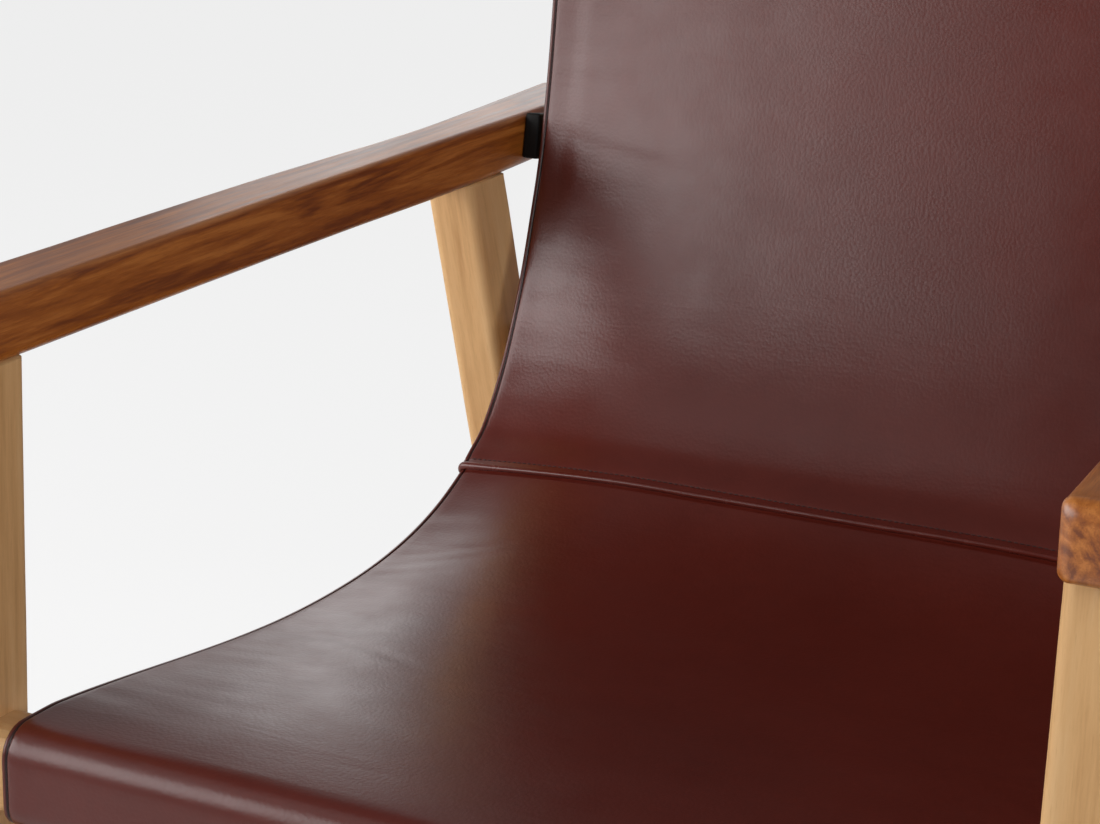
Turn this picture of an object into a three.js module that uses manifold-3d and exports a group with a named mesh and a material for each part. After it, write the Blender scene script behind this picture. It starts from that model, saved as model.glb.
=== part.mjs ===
// Leather sling lounge chair: two wooden side frames, a back frame and a two-layer leather sling.
// Millimetres, +Z up, the chair faces -Y. Built about the sling's hollow at y = 0, then centred on the floor.
import * as THREE from 'three';
import { mergeVertices } from 'three/addons/utils/BufferGeometryUtils.js';
import Module from 'manifold-3d';

const wasm = await Module();
wasm.setup();
const { degToRad, lerp, clamp } = THREE.MathUtils;

// Gap that every pair of touching pieces keeps
const FIT = 0.3;

// Sling: leather face and lining, back panel lapped over the seat panel at the seam
const SLING_WIDTH = 560;
const SIDE_GAP = 18;
const FACE_THICKNESS = 2.4;
const LINING_THICKNESS = 2;
const HOLLOW_HEIGHT = 378;
const HOLLOW_PITCH = degToRad(23.5);
const SEAM_UP_BACK = 3;
const SEAM_LAP = 14;
const LAP_RAMP = 24;
const BACK_SLOPE = degToRad(16);
const SEAT_RISE = degToRad(3.5);
// Curve handles of the hanging leather, as shares of the span from the hollow to a rail
const BACK_PULL_TOP = 0.4;
const BACK_PULL_HOLLOW = 0.247;
const SEAT_PULL_HOLLOW = 0.274;
const SEAT_PULL_FRONT = 0.336;
// The free side edges hang lower than the crowned middle
const EDGE_SAG = 13.5;
const EDGE_ROLL = 170;
const SAG_RUN_TOP = 180;
const SAG_RUN_FRONT = 280;
const TOP_TAIL = 37;
const FRONT_TAIL = 20;

// Arms: flat inner face, outer face waisted by the rear leg and flared behind it
const ARM_ABOVE_HOLLOW = 232;
const ARM_TILT = degToRad(3);
const ARM_ROUND = 5;
const ARM_NOSE = 9;
const ARM_FRONT_OVERHANG = 46;
const ARM_WIDE_AHEAD = 244;
const ARM_WAIST_AHEAD = 49;
const ARM_FLARE_BEHIND = 61;
const ARM_END_BEHIND = 206;
const ARM_WIDTH = 47;
const ARM_WAIST = 41.5;
const ARM_FLARE_WIDTH = 46;
const ARM_END_WIDTH = 54.5;
const ARM_DEPTH = 40;
const ARM_LEG_DEPTH = 41.5;
const ARM_FLARE_DEPTH = 40;
const ARM_END_DEPTH = 35;

// Legs: raked fore and aft, straight on the inside, tapered to the foot below the side rail
const REAR_LEG_Y = 94;
const LEG_SPACING = 590.5;
const REAR_RAKE = degToRad(16);
const FRONT_RAKE = degToRad(-5);
const LEG_WIDTH = 40;
const LEG_DEPTH = 58;
const LEG_ROUND = 6;
const FOOT_WIDTH = 32;
const FOOT_DEPTH = 40;
const FOOT_EASE = 2;
const TAPER_BELOW_RAIL = 24;
const LEG_TENON_RADIUS = 11;
const LEG_TENON_LENGTH = 24;

// Side rails, tenoned into the legs
const SIDE_RAIL_DROP = 95;
const SIDE_RAIL_HEIGHT = 50;
const SIDE_RAIL_THICKNESS = 22;
const SIDE_TENON_HEIGHT = 32;
const SIDE_TENON_THICKNESS = 10;
const SIDE_TENON_LENGTH = 20;

// Front rail, bolted between the front legs
const FRONT_RAIL_DROP = 4.5;
const FRONT_RAIL_DEPTH = 38;
const FRONT_RAIL_HEIGHT = 50;
const FRONT_RAIL_TOP_ROUND = 14;
const FRONT_RAIL_LOW_ROUND = 8;
const RAIL_BOLT_UP = 9;
const RAIL_DOWEL_DOWN = 11;
const RAIL_NUT_INSET = 36;
const DOWEL_RADIUS = 4;
const DOWEL_LENGTH = 36;
const NUT_RADIUS = 6;
const NUT_LENGTH = 22;

// Back frame: two stiles, a round-topped rail that carries the leather and a lower rail.
// Spacers hold the stiles off the legs and arms.
const TOP_RAIL_BACK = 205;
const TOP_RAIL_UP = 397;
const TOP_RAIL_THICKNESS = 36;
const TOP_RAIL_HEIGHT = 60;
const TOP_RAIL_ROUND = 4;
const FRAME_RECLINE = degToRad(12.5);
const STILE_GAP = 5;
const STILE_WIDTH = 34;
const STILE_DEPTH = 24;
const STILE_ROUND = 4;
const STILE_END_DROP = 78;
const STILE_TENON_WIDTH = 22;
const STILE_TENON_DEPTH = 12;
const STILE_TENON_LENGTH = 24;
const LOWER_RAIL_DROP = 44;
const LOWER_RAIL_HEIGHT = 44;
const LOWER_RAIL_DEPTH = 20;
const LOWER_TENON_HEIGHT = 30;
const LOWER_TENON_DEPTH = 10;
const LOWER_TENON_LENGTH = 18;
const LEG_SPACER_RADIUS = 14;
const ARM_SLEEVE_RADIUS = 5.5;

// Battens that clamp the leather ends, and their screws
const BATTEN_INSET = 14;
const BATTEN_ROUND = 2;
const TOP_BATTEN_WIDTH = 26;
const TOP_BATTEN_DROP = 22;
const FRONT_BATTEN_WIDTH = 18;
const BATTEN_THICKNESS = 8;
const BATTEN_SCREWS = 5;
const BATTEN_SCREW_SPAN = 0.86;
const BATTEN_SCREW_LENGTH = 30;
const ARM_SCREW_LENGTH = 72;
const ARM_SCREW_PITCH = 15;
const ARM_SCREW_BACK = 4;
const SCREW_RADIUS = 2;
const SCREW_HEAD_RADIUS = 4;
const SCREW_HEAD_DEPTH = 2.6;
const SCREW_TIP = 5;
const SCREW_SLOT_WIDTH = 1;
const SCREW_SLOT_DEPTH = 1.1;

// Connector bolts, with wooden plugs over their heads
const BOLT_RADIUS = 4;
const BOLT_HEAD_RADIUS = 6.5;
const BOLT_HEAD_HEIGHT = 6;
const BOLT_SINK = 12;
const BOLT_PAST_NUT = 8;
const BOLT_KEY_RADIUS = 2.6;
const BOLT_KEY_DEPTH = 3;
const PLUG_RADIUS = 8;
const PLUG_LENGTH = 5;
const INSERT_RADIUS = 6;
const INSERT_LENGTH = 22;
const INSERT_START = 4;

// Glides under the feet
const GLIDE_RADIUS = 12;
const GLIDE_HEIGHT = 5;
const GLIDE_EASE = 1.5;
const GLIDE_PIN_RADIUS = 2.5;
const GLIDE_PIN_LENGTH = 14;

// Fineness of the facets
const CORNER_STEPS = 2;
const ARM_STEPS = 16;
const NOSE_STEPS = 3;
const ROUND_STEPS = 16;
const SMALL_STEPS = 10;
const SPAN_STEPS = 12;
const WRAP_STEPS = 12;
const BEND_STEPS = 5;

const LEFT = -1;
const RIGHT = 1;
const halfInner = SLING_WIDTH / 2 + SIDE_GAP;
const armHeight = HOLLOW_HEIGHT + ARM_ABOVE_HOLLOW;
const frontLegY = REAR_LEG_Y - LEG_SPACING;
const legCentre = halfInner + LEG_WIDTH / 2;
const outerFace = halfInner + LEG_WIDTH;
const sideRailZ = HOLLOW_HEIGHT - SIDE_RAIL_DROP;
// Rail surface to the middle of the sling's two layers
const leatherLift = FIT + LINING_THICKNESS + FIT / 2;
const faceOuter = FIT / 2 + FACE_THICKNESS;
const acrossAxis = new THREE.Vector3(1, 0, 0);

const looks = {
  arm: { color: 0x6e4632, roughness: 0.45, metalness: 0 },
  oak: { color: 0xb98a5e, roughness: 0.5, metalness: 0 },
  leather: { color: 0x4a1d16, roughness: 0.42, metalness: 0 },
  suede: { color: 0x5a3226, roughness: 0.85, metalness: 0 },
  steel: { color: 0x9a9a98, roughness: 0.35, metalness: 1 },
  brass: { color: 0xb5934f, roughness: 0.35, metalness: 1 },
  nylon: { color: 0x2a2826, roughness: 0.6, metalness: 0 },
};

// A closed solid from any geometry, facing out
function toSolid(geometry) {
  const bare = new THREE.BufferGeometry();
  bare.setAttribute('position', geometry.getAttribute('position'));
  bare.setIndex(geometry.index);
  const merged = mergeVertices(bare);
  const points = merged.getAttribute('position');
  const source = merged.index.array;
  const triangles = [];
  const [a, b, c] = [new THREE.Vector3(), new THREE.Vector3(), new THREE.Vector3()];
  let volume = 0;
  for (let i = 0; i < source.length; i += 3) {
    const [p, q, r] = [source[i], source[i + 1], source[i + 2]];
    if (p !== q && q !== r && r !== p) {
      triangles.push([p, q, r]);
      a.fromBufferAttribute(points, p);
      b.fromBufferAttribute(points, q);
      c.fromBufferAttribute(points, r);
      volume += a.dot(b.cross(c));
    }
  }
  const facing = volume < 0 ? triangles.map(([p, q, r]) => [p, r, q]) : triangles;
  const mesh = new wasm.Mesh({
    numProp: 3,
    vertProperties: Float32Array.from(points.array),
    triVerts: Uint32Array.from(facing.flat()),
  });
  return new wasm.Manifold(mesh);
}

function toGeometry(solid) {
  const mesh = solid.getMesh();
  const geometry = new THREE.BufferGeometry();
  geometry.setAttribute('position', new THREE.BufferAttribute(Float32Array.from(mesh.vertProperties), 3));
  geometry.setIndex(new THREE.BufferAttribute(Uint32Array.from(mesh.triVerts), 1));
  geometry.computeVertexNormals();
  return geometry;
}

function cut(solid, tools) {
  return tools.reduce((rest, tool) => rest.subtract(tool), solid);
}

// Rounded rectangle about the origin; radii from the lower left corner, anticlockwise
function roundedShape(width, height, [lowLeft, lowRight, topRight, topLeft]) {
  const x = width / 2;
  const y = height / 2;
  const shape = new THREE.Shape();
  shape.absarc(lowLeft - x, lowLeft - y, lowLeft, Math.PI, 1.5 * Math.PI, false);
  shape.absarc(x - lowRight, lowRight - y, lowRight, 1.5 * Math.PI, 2 * Math.PI, false);
  shape.absarc(x - topRight, y - topRight, topRight, 0, 0.5 * Math.PI, false);
  shape.absarc(topLeft - x, y - topLeft, topLeft, 0.5 * Math.PI, Math.PI, false);
  return shape;
}

function evenShape(width, height, radius) {
  return roundedShape(width, height, [radius, radius, radius, radius]);
}

// A shape swept straight along one axis from a start point
function sweep(shape, start, axes, length, steps = CORNER_STEPS) {
  const settings = { depth: length, bevelEnabled: false, curveSegments: steps };
  const geometry = new THREE.ExtrudeGeometry(shape, settings);
  geometry.applyMatrix4(new THREE.Matrix4().makeBasis(...axes).setPosition(start));
  return toSolid(geometry);
}

function rod(radius, from, to, steps = ROUND_STEPS) {
  const along = to.clone().sub(from);
  const geometry = new THREE.CylinderGeometry(radius, radius, along.length(), steps);
  const axis = along.clone().normalize();
  geometry.applyQuaternion(new THREE.Quaternion().setFromUnitVectors(THREE.Object3D.DEFAULT_UP, axis));
  geometry.translate(...from.clone().add(to).multiplyScalar(0.5).toArray());
  return toSolid(geometry);
}

// A profile of [radius, height] pairs turned about an axis
function turned(profile, base, axis, steps = SMALL_STEPS) {
  const geometry = new THREE.LatheGeometry(profile.map(([r, h]) => new THREE.Vector2(r, h)), steps);
  geometry.applyQuaternion(new THREE.Quaternion().setFromUnitVectors(THREE.Object3D.DEFAULT_UP, axis));
  geometry.translate(...base.toArray());
  return toSolid(geometry);
}

// Convex sections joined into one solid
function loft(rings) {
  const count = rings[0].length;
  const last = (rings.length - 1) * count;
  const index = [];
  for (let i = 0; i < last; i += count) {
    for (let j = 0; j < count; j += 1) {
      const k = (j + 1) % count;
      index.push(i + j, i + k, i + k + count, i + j, i + k + count, i + j + count);
    }
  }
  for (let j = 1; j + 1 < count; j += 1) {
    index.push(0, j + 1, j, last, last + j, last + j + 1);
  }
  const geometry = new THREE.BufferGeometry();
  geometry.setFromPoints(rings.flat());
  geometry.setIndex(index);
  return toSolid(geometry);
}

// A thin sheet between two matching grids of points
function slab(outer, inner) {
  const rows = outer.length;
  const columns = outer[0].length;
  const under = rows * columns;
  const index = [];
  const quad = (p, q, r, s) => index.push(p, q, r, p, r, s);
  for (let i = 0; i + 1 < rows; i += 1) {
    const row = i * columns;
    for (let j = 0; j + 1 < columns; j += 1) {
      const at = row + j;
      quad(at, at + 1, at + columns + 1, at + columns);
      quad(under + at, under + at + columns, under + at + columns + 1, under + at + 1);
    }
    const edge = row + columns - 1;
    quad(row, row + columns, under + row + columns, under + row);
    quad(edge, under + edge, under + edge + columns, edge + columns);
  }
  const end = under - columns;
  for (let j = 0; j + 1 < columns; j += 1) {
    quad(j, under + j, under + j + 1, j + 1);
    quad(end + j, end + j + 1, under + end + j + 1, under + end + j);
  }
  const geometry = new THREE.BufferGeometry();
  geometry.setFromPoints([...outer.flat(), ...inner.flat()]);
  geometry.setIndex(index);
  return toSolid(geometry);
}

// A point at x on the side plane, given as a (y, z) pair
function at(x, pair) {
  return new THREE.Vector3(x, pair.x, pair.y);
}

function flat(pair) {
  return at(0, pair);
}

function moved(pair, direction, distance) {
  return pair.clone().addScaledVector(direction, distance);
}

// Directions in the side plane as (y, z) pairs
const frameUp = new THREE.Vector2(Math.sin(FRAME_RECLINE), Math.cos(FRAME_RECLINE));
const frameBack = new THREE.Vector2(Math.cos(FRAME_RECLINE), -Math.sin(FRAME_RECLINE));
const railAhead = new THREE.Vector2(-Math.cos(SEAT_RISE), Math.sin(SEAT_RISE));
const railUp = new THREE.Vector2(Math.sin(SEAT_RISE), Math.cos(SEAT_RISE));

// Arm sections: width and depth along the arm from its front end to its rear end
const armCourse = new THREE.CatmullRomCurve3([
  new THREE.Vector3(frontLegY - ARM_FRONT_OVERHANG, ARM_WIDTH, ARM_DEPTH),
  new THREE.Vector3(REAR_LEG_Y - ARM_WIDE_AHEAD, ARM_WIDTH, ARM_DEPTH),
  new THREE.Vector3(REAR_LEG_Y - ARM_WAIST_AHEAD, ARM_WAIST, ARM_LEG_DEPTH),
  new THREE.Vector3(REAR_LEG_Y + ARM_FLARE_BEHIND, ARM_FLARE_WIDTH, ARM_FLARE_DEPTH),
  new THREE.Vector3(REAR_LEG_Y + ARM_END_BEHIND, ARM_END_WIDTH, ARM_END_DEPTH),
]);
const armStations = armCourse.getSpacedPoints(ARM_STEPS);

function armTop(y) {
  return armHeight + (REAR_LEG_Y - y) * Math.tan(ARM_TILT);
}

function armUnder(y) {
  const after = clamp(armStations.findIndex((station) => station.x > y), 1, ARM_STEPS);
  const [a, b] = [armStations[after - 1], armStations[after]];
  const share = (y - a.x) / (b.x - a.x);
  return lerp(armTop(a.x) - a.z, armTop(b.x) - b.z, share);
}

function armRing(side, station, push, inset) {
  const width = station.y - 2 * inset;
  const depth = station.z - 2 * inset;
  const shape = evenShape(width, depth, Math.min(ARM_ROUND, width / 2, depth / 2));
  const x = halfInner + station.y / 2;
  const z = armTop(station.x) - station.z / 2;
  const outline = shape.getPoints(CORNER_STEPS);
  return outline.map((p) => new THREE.Vector3(side * (x + p.x), station.x + push, z + p.y));
}

function armBody(side) {
  const rings = armStations.slice(1, -1).map((station) => armRing(side, station, 0, 0));
  const nose = [];
  const heel = [];
  for (let i = 0; i <= NOSE_STEPS; i += 1) {
    const turn = (i / NOSE_STEPS) * 0.5 * Math.PI;
    const inset = ARM_NOSE * (1 - Math.sin(turn));
    const push = ARM_NOSE * (1 - Math.cos(turn));
    nose.push(armRing(side, armStations[0], push, inset));
    heel.unshift(armRing(side, armStations[ARM_STEPS], -push, inset));
  }
  return loft([...nose, ...rings, ...heel]);
}

// Centre line of a leg: y at a height, from its place under the arm
function legLine(topY, rake) {
  const under = armUnder(topY);
  return (z) => topY + (under - z) * Math.tan(rake);
}

const rearLine = legLine(REAR_LEG_Y, REAR_RAKE);
const frontLine = legLine(frontLegY, FRONT_RAKE);

function legRing(side, line, z, width, depth, inset) {
  const shape = evenShape(width - 2 * inset, depth - 2 * inset, LEG_ROUND);
  const x = halfInner + width / 2;
  return shape.getPoints(CORNER_STEPS).map((p) => new THREE.Vector3(side * (x + p.x), line(z) + p.y, z));
}

// The legs' upper ends follow the underside of the arm
function legBody(side, line, topY, grow) {
  const footZ = GLIDE_HEIGHT + FIT;
  const taperZ = sideRailZ - SIDE_RAIL_HEIGHT / 2 - TAPER_BELOW_RAIL;
  const top = legRing(side, line, armUnder(topY), LEG_WIDTH, LEG_DEPTH, -grow);
  top.forEach((p) => p.setZ(armUnder(p.y) - FIT));
  return loft([
    legRing(side, line, footZ, FOOT_WIDTH, FOOT_DEPTH, FOOT_EASE - grow),
    legRing(side, line, footZ + FOOT_EASE, FOOT_WIDTH, FOOT_DEPTH, -grow),
    legRing(side, line, taperZ, LEG_WIDTH, LEG_DEPTH, -grow),
    top,
  ]);
}

function legTenon(side, line, topY, grow) {
  const under = armUnder(topY);
  const middle = at(side * legCentre, new THREE.Vector2(topY, under));
  const below = at(side * legCentre, new THREE.Vector2(line(under - LEG_DEPTH), under - LEG_DEPTH));
  const up = middle.clone().sub(below).normalize();
  return rod(LEG_TENON_RADIUS + grow, below, middle.addScaledVector(up, LEG_TENON_LENGTH + grow));
}

// Side rails run between the legs; their tenons run on into the legs
const yAxes = [acrossAxis, new THREE.Vector3(0, 0, 1), new THREE.Vector3(0, 1, 0)];
const railFrontY = frontLine(sideRailZ);
const railRearY = rearLine(sideRailZ);
const sideTenonTip = LEG_DEPTH / 2 - SIDE_TENON_LENGTH;

function sideTenon(side, grow) {
  const shape = evenShape(SIDE_TENON_THICKNESS + 2 * grow, SIDE_TENON_HEIGHT + 2 * grow, STILE_ROUND);
  const start = new THREE.Vector3(side * legCentre, railFrontY + sideTenonTip - grow, sideRailZ);
  return sweep(shape, start, yAxes, railRearY - railFrontY - 2 * (sideTenonTip - grow));
}

function sideRail(side) {
  const shape = evenShape(SIDE_RAIL_THICKNESS, SIDE_RAIL_HEIGHT, STILE_ROUND);
  const start = new THREE.Vector3(side * legCentre, railFrontY, sideRailZ);
  const body = sweep(shape, start, yAxes, railRearY - railFrontY);
  const trimmed = cut(body, [
    legBody(side, frontLine, frontLegY, FIT),
    legBody(side, rearLine, REAR_LEG_Y, FIT),
  ]);
  return trimmed.add(sideTenon(side, 0));
}

// Countersunk screw along an axis; the grown one is the hole for it, open above the head
function screwBody(base, axis, length, grow) {
  const open = grow > 0 ? SCREW_HEAD_DEPTH : 0;
  return turned([
    [0, -length - grow],
    [SCREW_RADIUS + grow, SCREW_TIP - length - grow],
    [SCREW_RADIUS + grow, -SCREW_HEAD_DEPTH],
    [SCREW_HEAD_RADIUS + grow, 0],
    [SCREW_HEAD_RADIUS + grow, open],
    [0, open],
  ].filter(([r, h], i) => grow > 0 || i !== 4), base, axis);
}

function slottedScrew(base, axis, length) {
  const slotAxes = [acrossAxis, axis.clone().cross(acrossAxis), axis];
  if (Math.abs(axis.x) > 0) {
    slotAxes[0] = flat(frameUp);
    slotAxes[1] = flat(frameBack);
  }
  const shape = evenShape(SCREW_SLOT_WIDTH, 3 * SCREW_HEAD_RADIUS, SCREW_SLOT_WIDTH / 4);
  const start = base.clone().addScaledVector(axis, -SCREW_SLOT_DEPTH);
  return screwBody(base, axis, length, 0).subtract(sweep(shape, start, slotAxes, 2 * SCREW_SLOT_DEPTH, 1));
}

// Connector bolt from the outer face of a leg inwards
function boltBody(side, pair, length) {
  const seat = outerFace - BOLT_SINK;
  const inward = acrossAxis.clone().multiplyScalar(-side);
  const head = rod(BOLT_HEAD_RADIUS, at(side * (seat + BOLT_HEAD_HEIGHT), pair), at(side * seat, pair));
  const shank = rod(BOLT_RADIUS, at(side * (seat + 1), pair), at(side * (seat - length), pair), SMALL_STEPS);
  const keyStart = at(side * (seat + BOLT_HEAD_HEIGHT), pair);
  const keyEnd = keyStart.clone().addScaledVector(inward, BOLT_KEY_DEPTH);
  return head.add(shank).subtract(rod(BOLT_KEY_RADIUS, keyStart.addScaledVector(inward, -1), keyEnd, 6));
}

function boltHole(side, pair, length) {
  const seat = outerFace - BOLT_SINK - FIT;
  const open = rod(PLUG_RADIUS + FIT, at(side * (outerFace + 1), pair), at(side * seat, pair));
  const from = at(side * (seat + 1), pair);
  const to = at(side * (seat - length), pair);
  return open.add(rod(BOLT_RADIUS + FIT, from, to, SMALL_STEPS));
}

function plugBody(side, pair) {
  return rod(PLUG_RADIUS, at(side * outerFace, pair), at(side * (outerFace - PLUG_LENGTH), pair));
}

// Front rail and its fixings
const frontRailZ = HOLLOW_HEIGHT - FRONT_RAIL_DROP;
const frontRail = new THREE.Vector2(frontLine(frontRailZ), frontRailZ);
const railBend = moved(
  moved(frontRail, railAhead, FRONT_RAIL_DEPTH / 2 - FRONT_RAIL_TOP_ROUND),
  railUp,
  FRONT_RAIL_HEIGHT / 2 - FRONT_RAIL_TOP_ROUND,
);
const railLowBend = moved(
  moved(frontRail, railAhead, FRONT_RAIL_DEPTH / 2 - FRONT_RAIL_LOW_ROUND),
  railUp,
  FRONT_RAIL_LOW_ROUND - FRONT_RAIL_HEIGHT / 2,
);
const railBolt = moved(frontRail, railUp, RAIL_BOLT_UP);
const railDowel = moved(frontRail, railUp, -RAIL_DOWEL_DOWN);
const railBoltLength = LEG_WIDTH - BOLT_SINK + RAIL_NUT_INSET + BOLT_PAST_NUT;

function railNut(side, grow) {
  const x = side * (halfInner - RAIL_NUT_INSET);
  const rear = grow > 0 ? FRONT_RAIL_DEPTH : NUT_LENGTH / 2;
  const from = at(x, moved(railBolt, railAhead, -rear));
  const to = at(x, moved(railBolt, railAhead, NUT_LENGTH / 2 + grow));
  return rod(NUT_RADIUS + grow, from, to, SMALL_STEPS);
}

function dowelBody(side, grow) {
  const reach = DOWEL_LENGTH / 2 + grow;
  const from = at(side * (halfInner - reach), railDowel);
  const to = at(side * (halfInner + reach), railDowel);
  return rod(DOWEL_RADIUS + grow, from, to);
}

// Leather course in the side plane, from behind the top rail to under the front rail
const topBend = new THREE.Vector2(TOP_RAIL_BACK, HOLLOW_HEIGHT + TOP_RAIL_UP);
const topRadius = TOP_RAIL_THICKNESS / 2 + leatherLift;
const bendRadius = FRONT_RAIL_TOP_ROUND + leatherLift;
const lowRadius = FRONT_RAIL_LOW_ROUND + leatherLift;
const hollow = new THREE.Vector2(0, HOLLOW_HEIGHT);
const topLeave = moved(topBend, new THREE.Vector2(-Math.cos(BACK_SLOPE), Math.sin(BACK_SLOPE)), topRadius);
const frontMeet = moved(railBend, railUp, bendRadius);
const backDown = new THREE.Vector2(-Math.sin(BACK_SLOPE), -Math.cos(BACK_SLOPE));
const hollowAlong = new THREE.Vector2(-Math.cos(HOLLOW_PITCH), -Math.sin(HOLLOW_PITCH));
const backSpan = topLeave.distanceTo(hollow);
const seatSpan = frontMeet.distanceTo(hollow);
const tailEnd = moved(topBend, frameBack, topRadius);
const tail = new THREE.LineCurve(moved(tailEnd, frameUp, -TOP_TAIL), tailEnd);
const overTop = new THREE.EllipseCurve(
  topBend.x, topBend.y, topRadius, topRadius, -FRAME_RECLINE, Math.PI - BACK_SLOPE, false,
);
const backCourse = new THREE.CubicBezierCurve(
  topLeave,
  moved(topLeave, backDown, BACK_PULL_TOP * backSpan),
  moved(hollow, hollowAlong, -BACK_PULL_HOLLOW * backSpan),
  hollow,
);
const seatCourse = new THREE.CubicBezierCurve(
  hollow,
  moved(hollow, hollowAlong, SEAT_PULL_HOLLOW * seatSpan),
  moved(frontMeet, railAhead, -SEAT_PULL_FRONT * seatSpan),
  frontMeet,
);
const overFront = new THREE.EllipseCurve(
  railBend.x, railBend.y, bendRadius, bendRadius, 0.5 * Math.PI - SEAT_RISE, Math.PI - SEAT_RISE, false,
);
const underFront = new THREE.EllipseCurve(
  railLowBend.x, railLowBend.y, lowRadius, lowRadius, Math.PI - SEAT_RISE, 1.5 * Math.PI - SEAT_RISE, false,
);
const lowTailStart = moved(railLowBend, railUp, -lowRadius);
const lowTail = new THREE.LineCurve(lowTailStart, moved(lowTailStart, railAhead, -FRONT_TAIL));
const backLength = backCourse.getLength();
const seatLength = seatCourse.getLength();
const sagStartTop = TOP_RAIL_HEIGHT - TOP_RAIL_THICKNESS / 2 + TOP_RAIL_ROUND;
const sagStartFront = FRONT_RAIL_DEPTH - FRONT_RAIL_TOP_ROUND + TOP_RAIL_ROUND;

// One station of the course: place, outward normal and how far its free edges hang
function station(course, share, sag = 0, lift = 0) {
  const point = course.getPointAt(share);
  const tangent = course.getTangentAt(share);
  return { point, normal: new THREE.Vector2(tangent.y, -tangent.x), sag, lift };
}

function ease(distance, run) {
  return Math.sin(0.5 * Math.PI * clamp(distance / run, 0, 1));
}

function backStation(distance, lift = 0) {
  const sag = EDGE_SAG * ease(distance - sagStartTop, SAG_RUN_TOP);
  return station(backCourse, distance / backLength, sag, lift);
}

function seatStation(distance) {
  const left = seatLength - distance - sagStartFront;
  return station(seatCourse, distance / seatLength, EDGE_SAG * ease(left, SAG_RUN_FRONT));
}

function steps(count) {
  return Array.from({ length: count + 1 }, (unused, i) => i / count);
}

const seamAt = backLength - SEAM_UP_BACK;
const lapLift = FACE_THICKNESS + FIT;
const rampStart = seamAt - SEAM_LAP - LAP_RAMP;
const rampEnd = seamAt - SEAM_LAP - FACE_THICKNESS;
const liningMeet = seamAt - SEAM_LAP / 2;
const upperStations = [
  ...steps(2).map((share) => station(tail, share)),
  ...steps(WRAP_STEPS).slice(1, -1).map((share) => station(overTop, share)),
  backStation(0),
  ...steps(SPAN_STEPS).map((share) => backStation(lerp(sagStartTop, rampStart, share))),
];
const lowerStations = [
  ...steps(SPAN_STEPS).map((share) => seatStation(share * (seatLength - sagStartFront))),
  seatStation(seatLength),
  ...steps(BEND_STEPS).slice(1).map((share) => station(overFront, share)),
  ...steps(BEND_STEPS).map((share) => station(underFront, share)),
  ...steps(2).slice(1).map((share) => station(lowTail, share)),
];
const edgeColumns = [0, 0.2, 0.45, 0.75, 1.1].map((share) => SLING_WIDTH / 2 - share * EDGE_ROLL);
const columns = [...edgeColumns.map((x) => -x), 0, ...edgeColumns.reverse()];

function edgeShare(x) {
  const inward = (SLING_WIDTH / 2 - Math.abs(x)) / EDGE_ROLL;
  return clamp(1 - inward, 0, 1) ** 2;
}

function sheet(stations, from, to) {
  const layer = (offset) => stations.map(({ point, normal, sag, lift }) => columns.map((x) => {
    const out = offset + lift - sag * edgeShare(x);
    return at(x, moved(point, normal, out));
  }));
  return slab(layer(to), layer(from));
}

const backPanel = [...upperStations, backStation(rampEnd, lapLift), backStation(seamAt, lapLift)];
const backLining = [...upperStations, backStation(rampEnd), backStation(liningMeet - FIT / 2)];
const seatPanel = [backStation(seamAt - SEAM_LAP), ...lowerStations];
const seatLining = [backStation(liningMeet + FIT / 2), ...lowerStations];

// Back frame in its own reclined directions
const stileDepthAt = TOP_RAIL_THICKNESS / 2 - STILE_DEPTH / 2;
const railFoot = TOP_RAIL_HEIGHT - TOP_RAIL_THICKNESS / 2;
const stileAxis = moved(topBend, frameBack, stileDepthAt);
const stileOuter = SLING_WIDTH / 2 + STILE_GAP;
const stileX = stileOuter - STILE_WIDTH / 2;
const stileInner = stileOuter - STILE_WIDTH;
const spacerFrom = stileOuter + FIT;
const spacerTo = halfInner - FIT;
const upAxes = [acrossAxis, flat(frameBack), flat(frameUp)];
const lengthAxes = [flat(frameBack), flat(frameUp), acrossAxis];

function stileAt(z) {
  return moved(stileAxis, frameUp, (z - stileAxis.y) / Math.cos(FRAME_RECLINE));
}

const stileEnd = stileAt(HOLLOW_HEIGHT - STILE_END_DROP);
const stileTop = moved(stileAxis, frameUp, -railFoot - FIT);
const lowerRail = stileAt(HOLLOW_HEIGHT - LOWER_RAIL_DROP);
const stileRun = stileTop.distanceTo(stileEnd);

// The stile crosses the rear leg where their centre lines meet
const crossFall = Math.tan(FRAME_RECLINE) + Math.tan(REAR_RAKE);
const crossZ = HOLLOW_HEIGHT + (rearLine(HOLLOW_HEIGHT) - stileAt(HOLLOW_HEIGHT).x) / crossFall;
const crossing = stileAt(crossZ);
const stileBoltLength = outerFace - BOLT_SINK - stileOuter + INSERT_START + INSERT_LENGTH;

function stileTenon(side, grow) {
  const shape = evenShape(STILE_TENON_WIDTH + 2 * grow, STILE_TENON_DEPTH + 2 * grow, STILE_ROUND / 2);
  const start = at(side * stileX, moved(stileTop, frameUp, -STILE_ROUND));
  return sweep(shape, start, upAxes, STILE_ROUND + STILE_TENON_LENGTH + grow);
}

function lowerTenon(grow) {
  const shape = evenShape(LOWER_TENON_DEPTH + 2 * grow, LOWER_TENON_HEIGHT + 2 * grow, STILE_ROUND / 2);
  const reach = stileInner + LOWER_TENON_LENGTH + grow;
  return sweep(shape, at(-reach, lowerRail), lengthAxes, 2 * reach);
}

function insertBody(side, grow) {
  const from = at(side * (stileOuter - INSERT_START + grow), crossing);
  const to = at(side * (stileOuter - INSERT_START - INSERT_LENGTH - grow), crossing);
  return rod(INSERT_RADIUS + grow, from, to, SMALL_STEPS);
}

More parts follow.
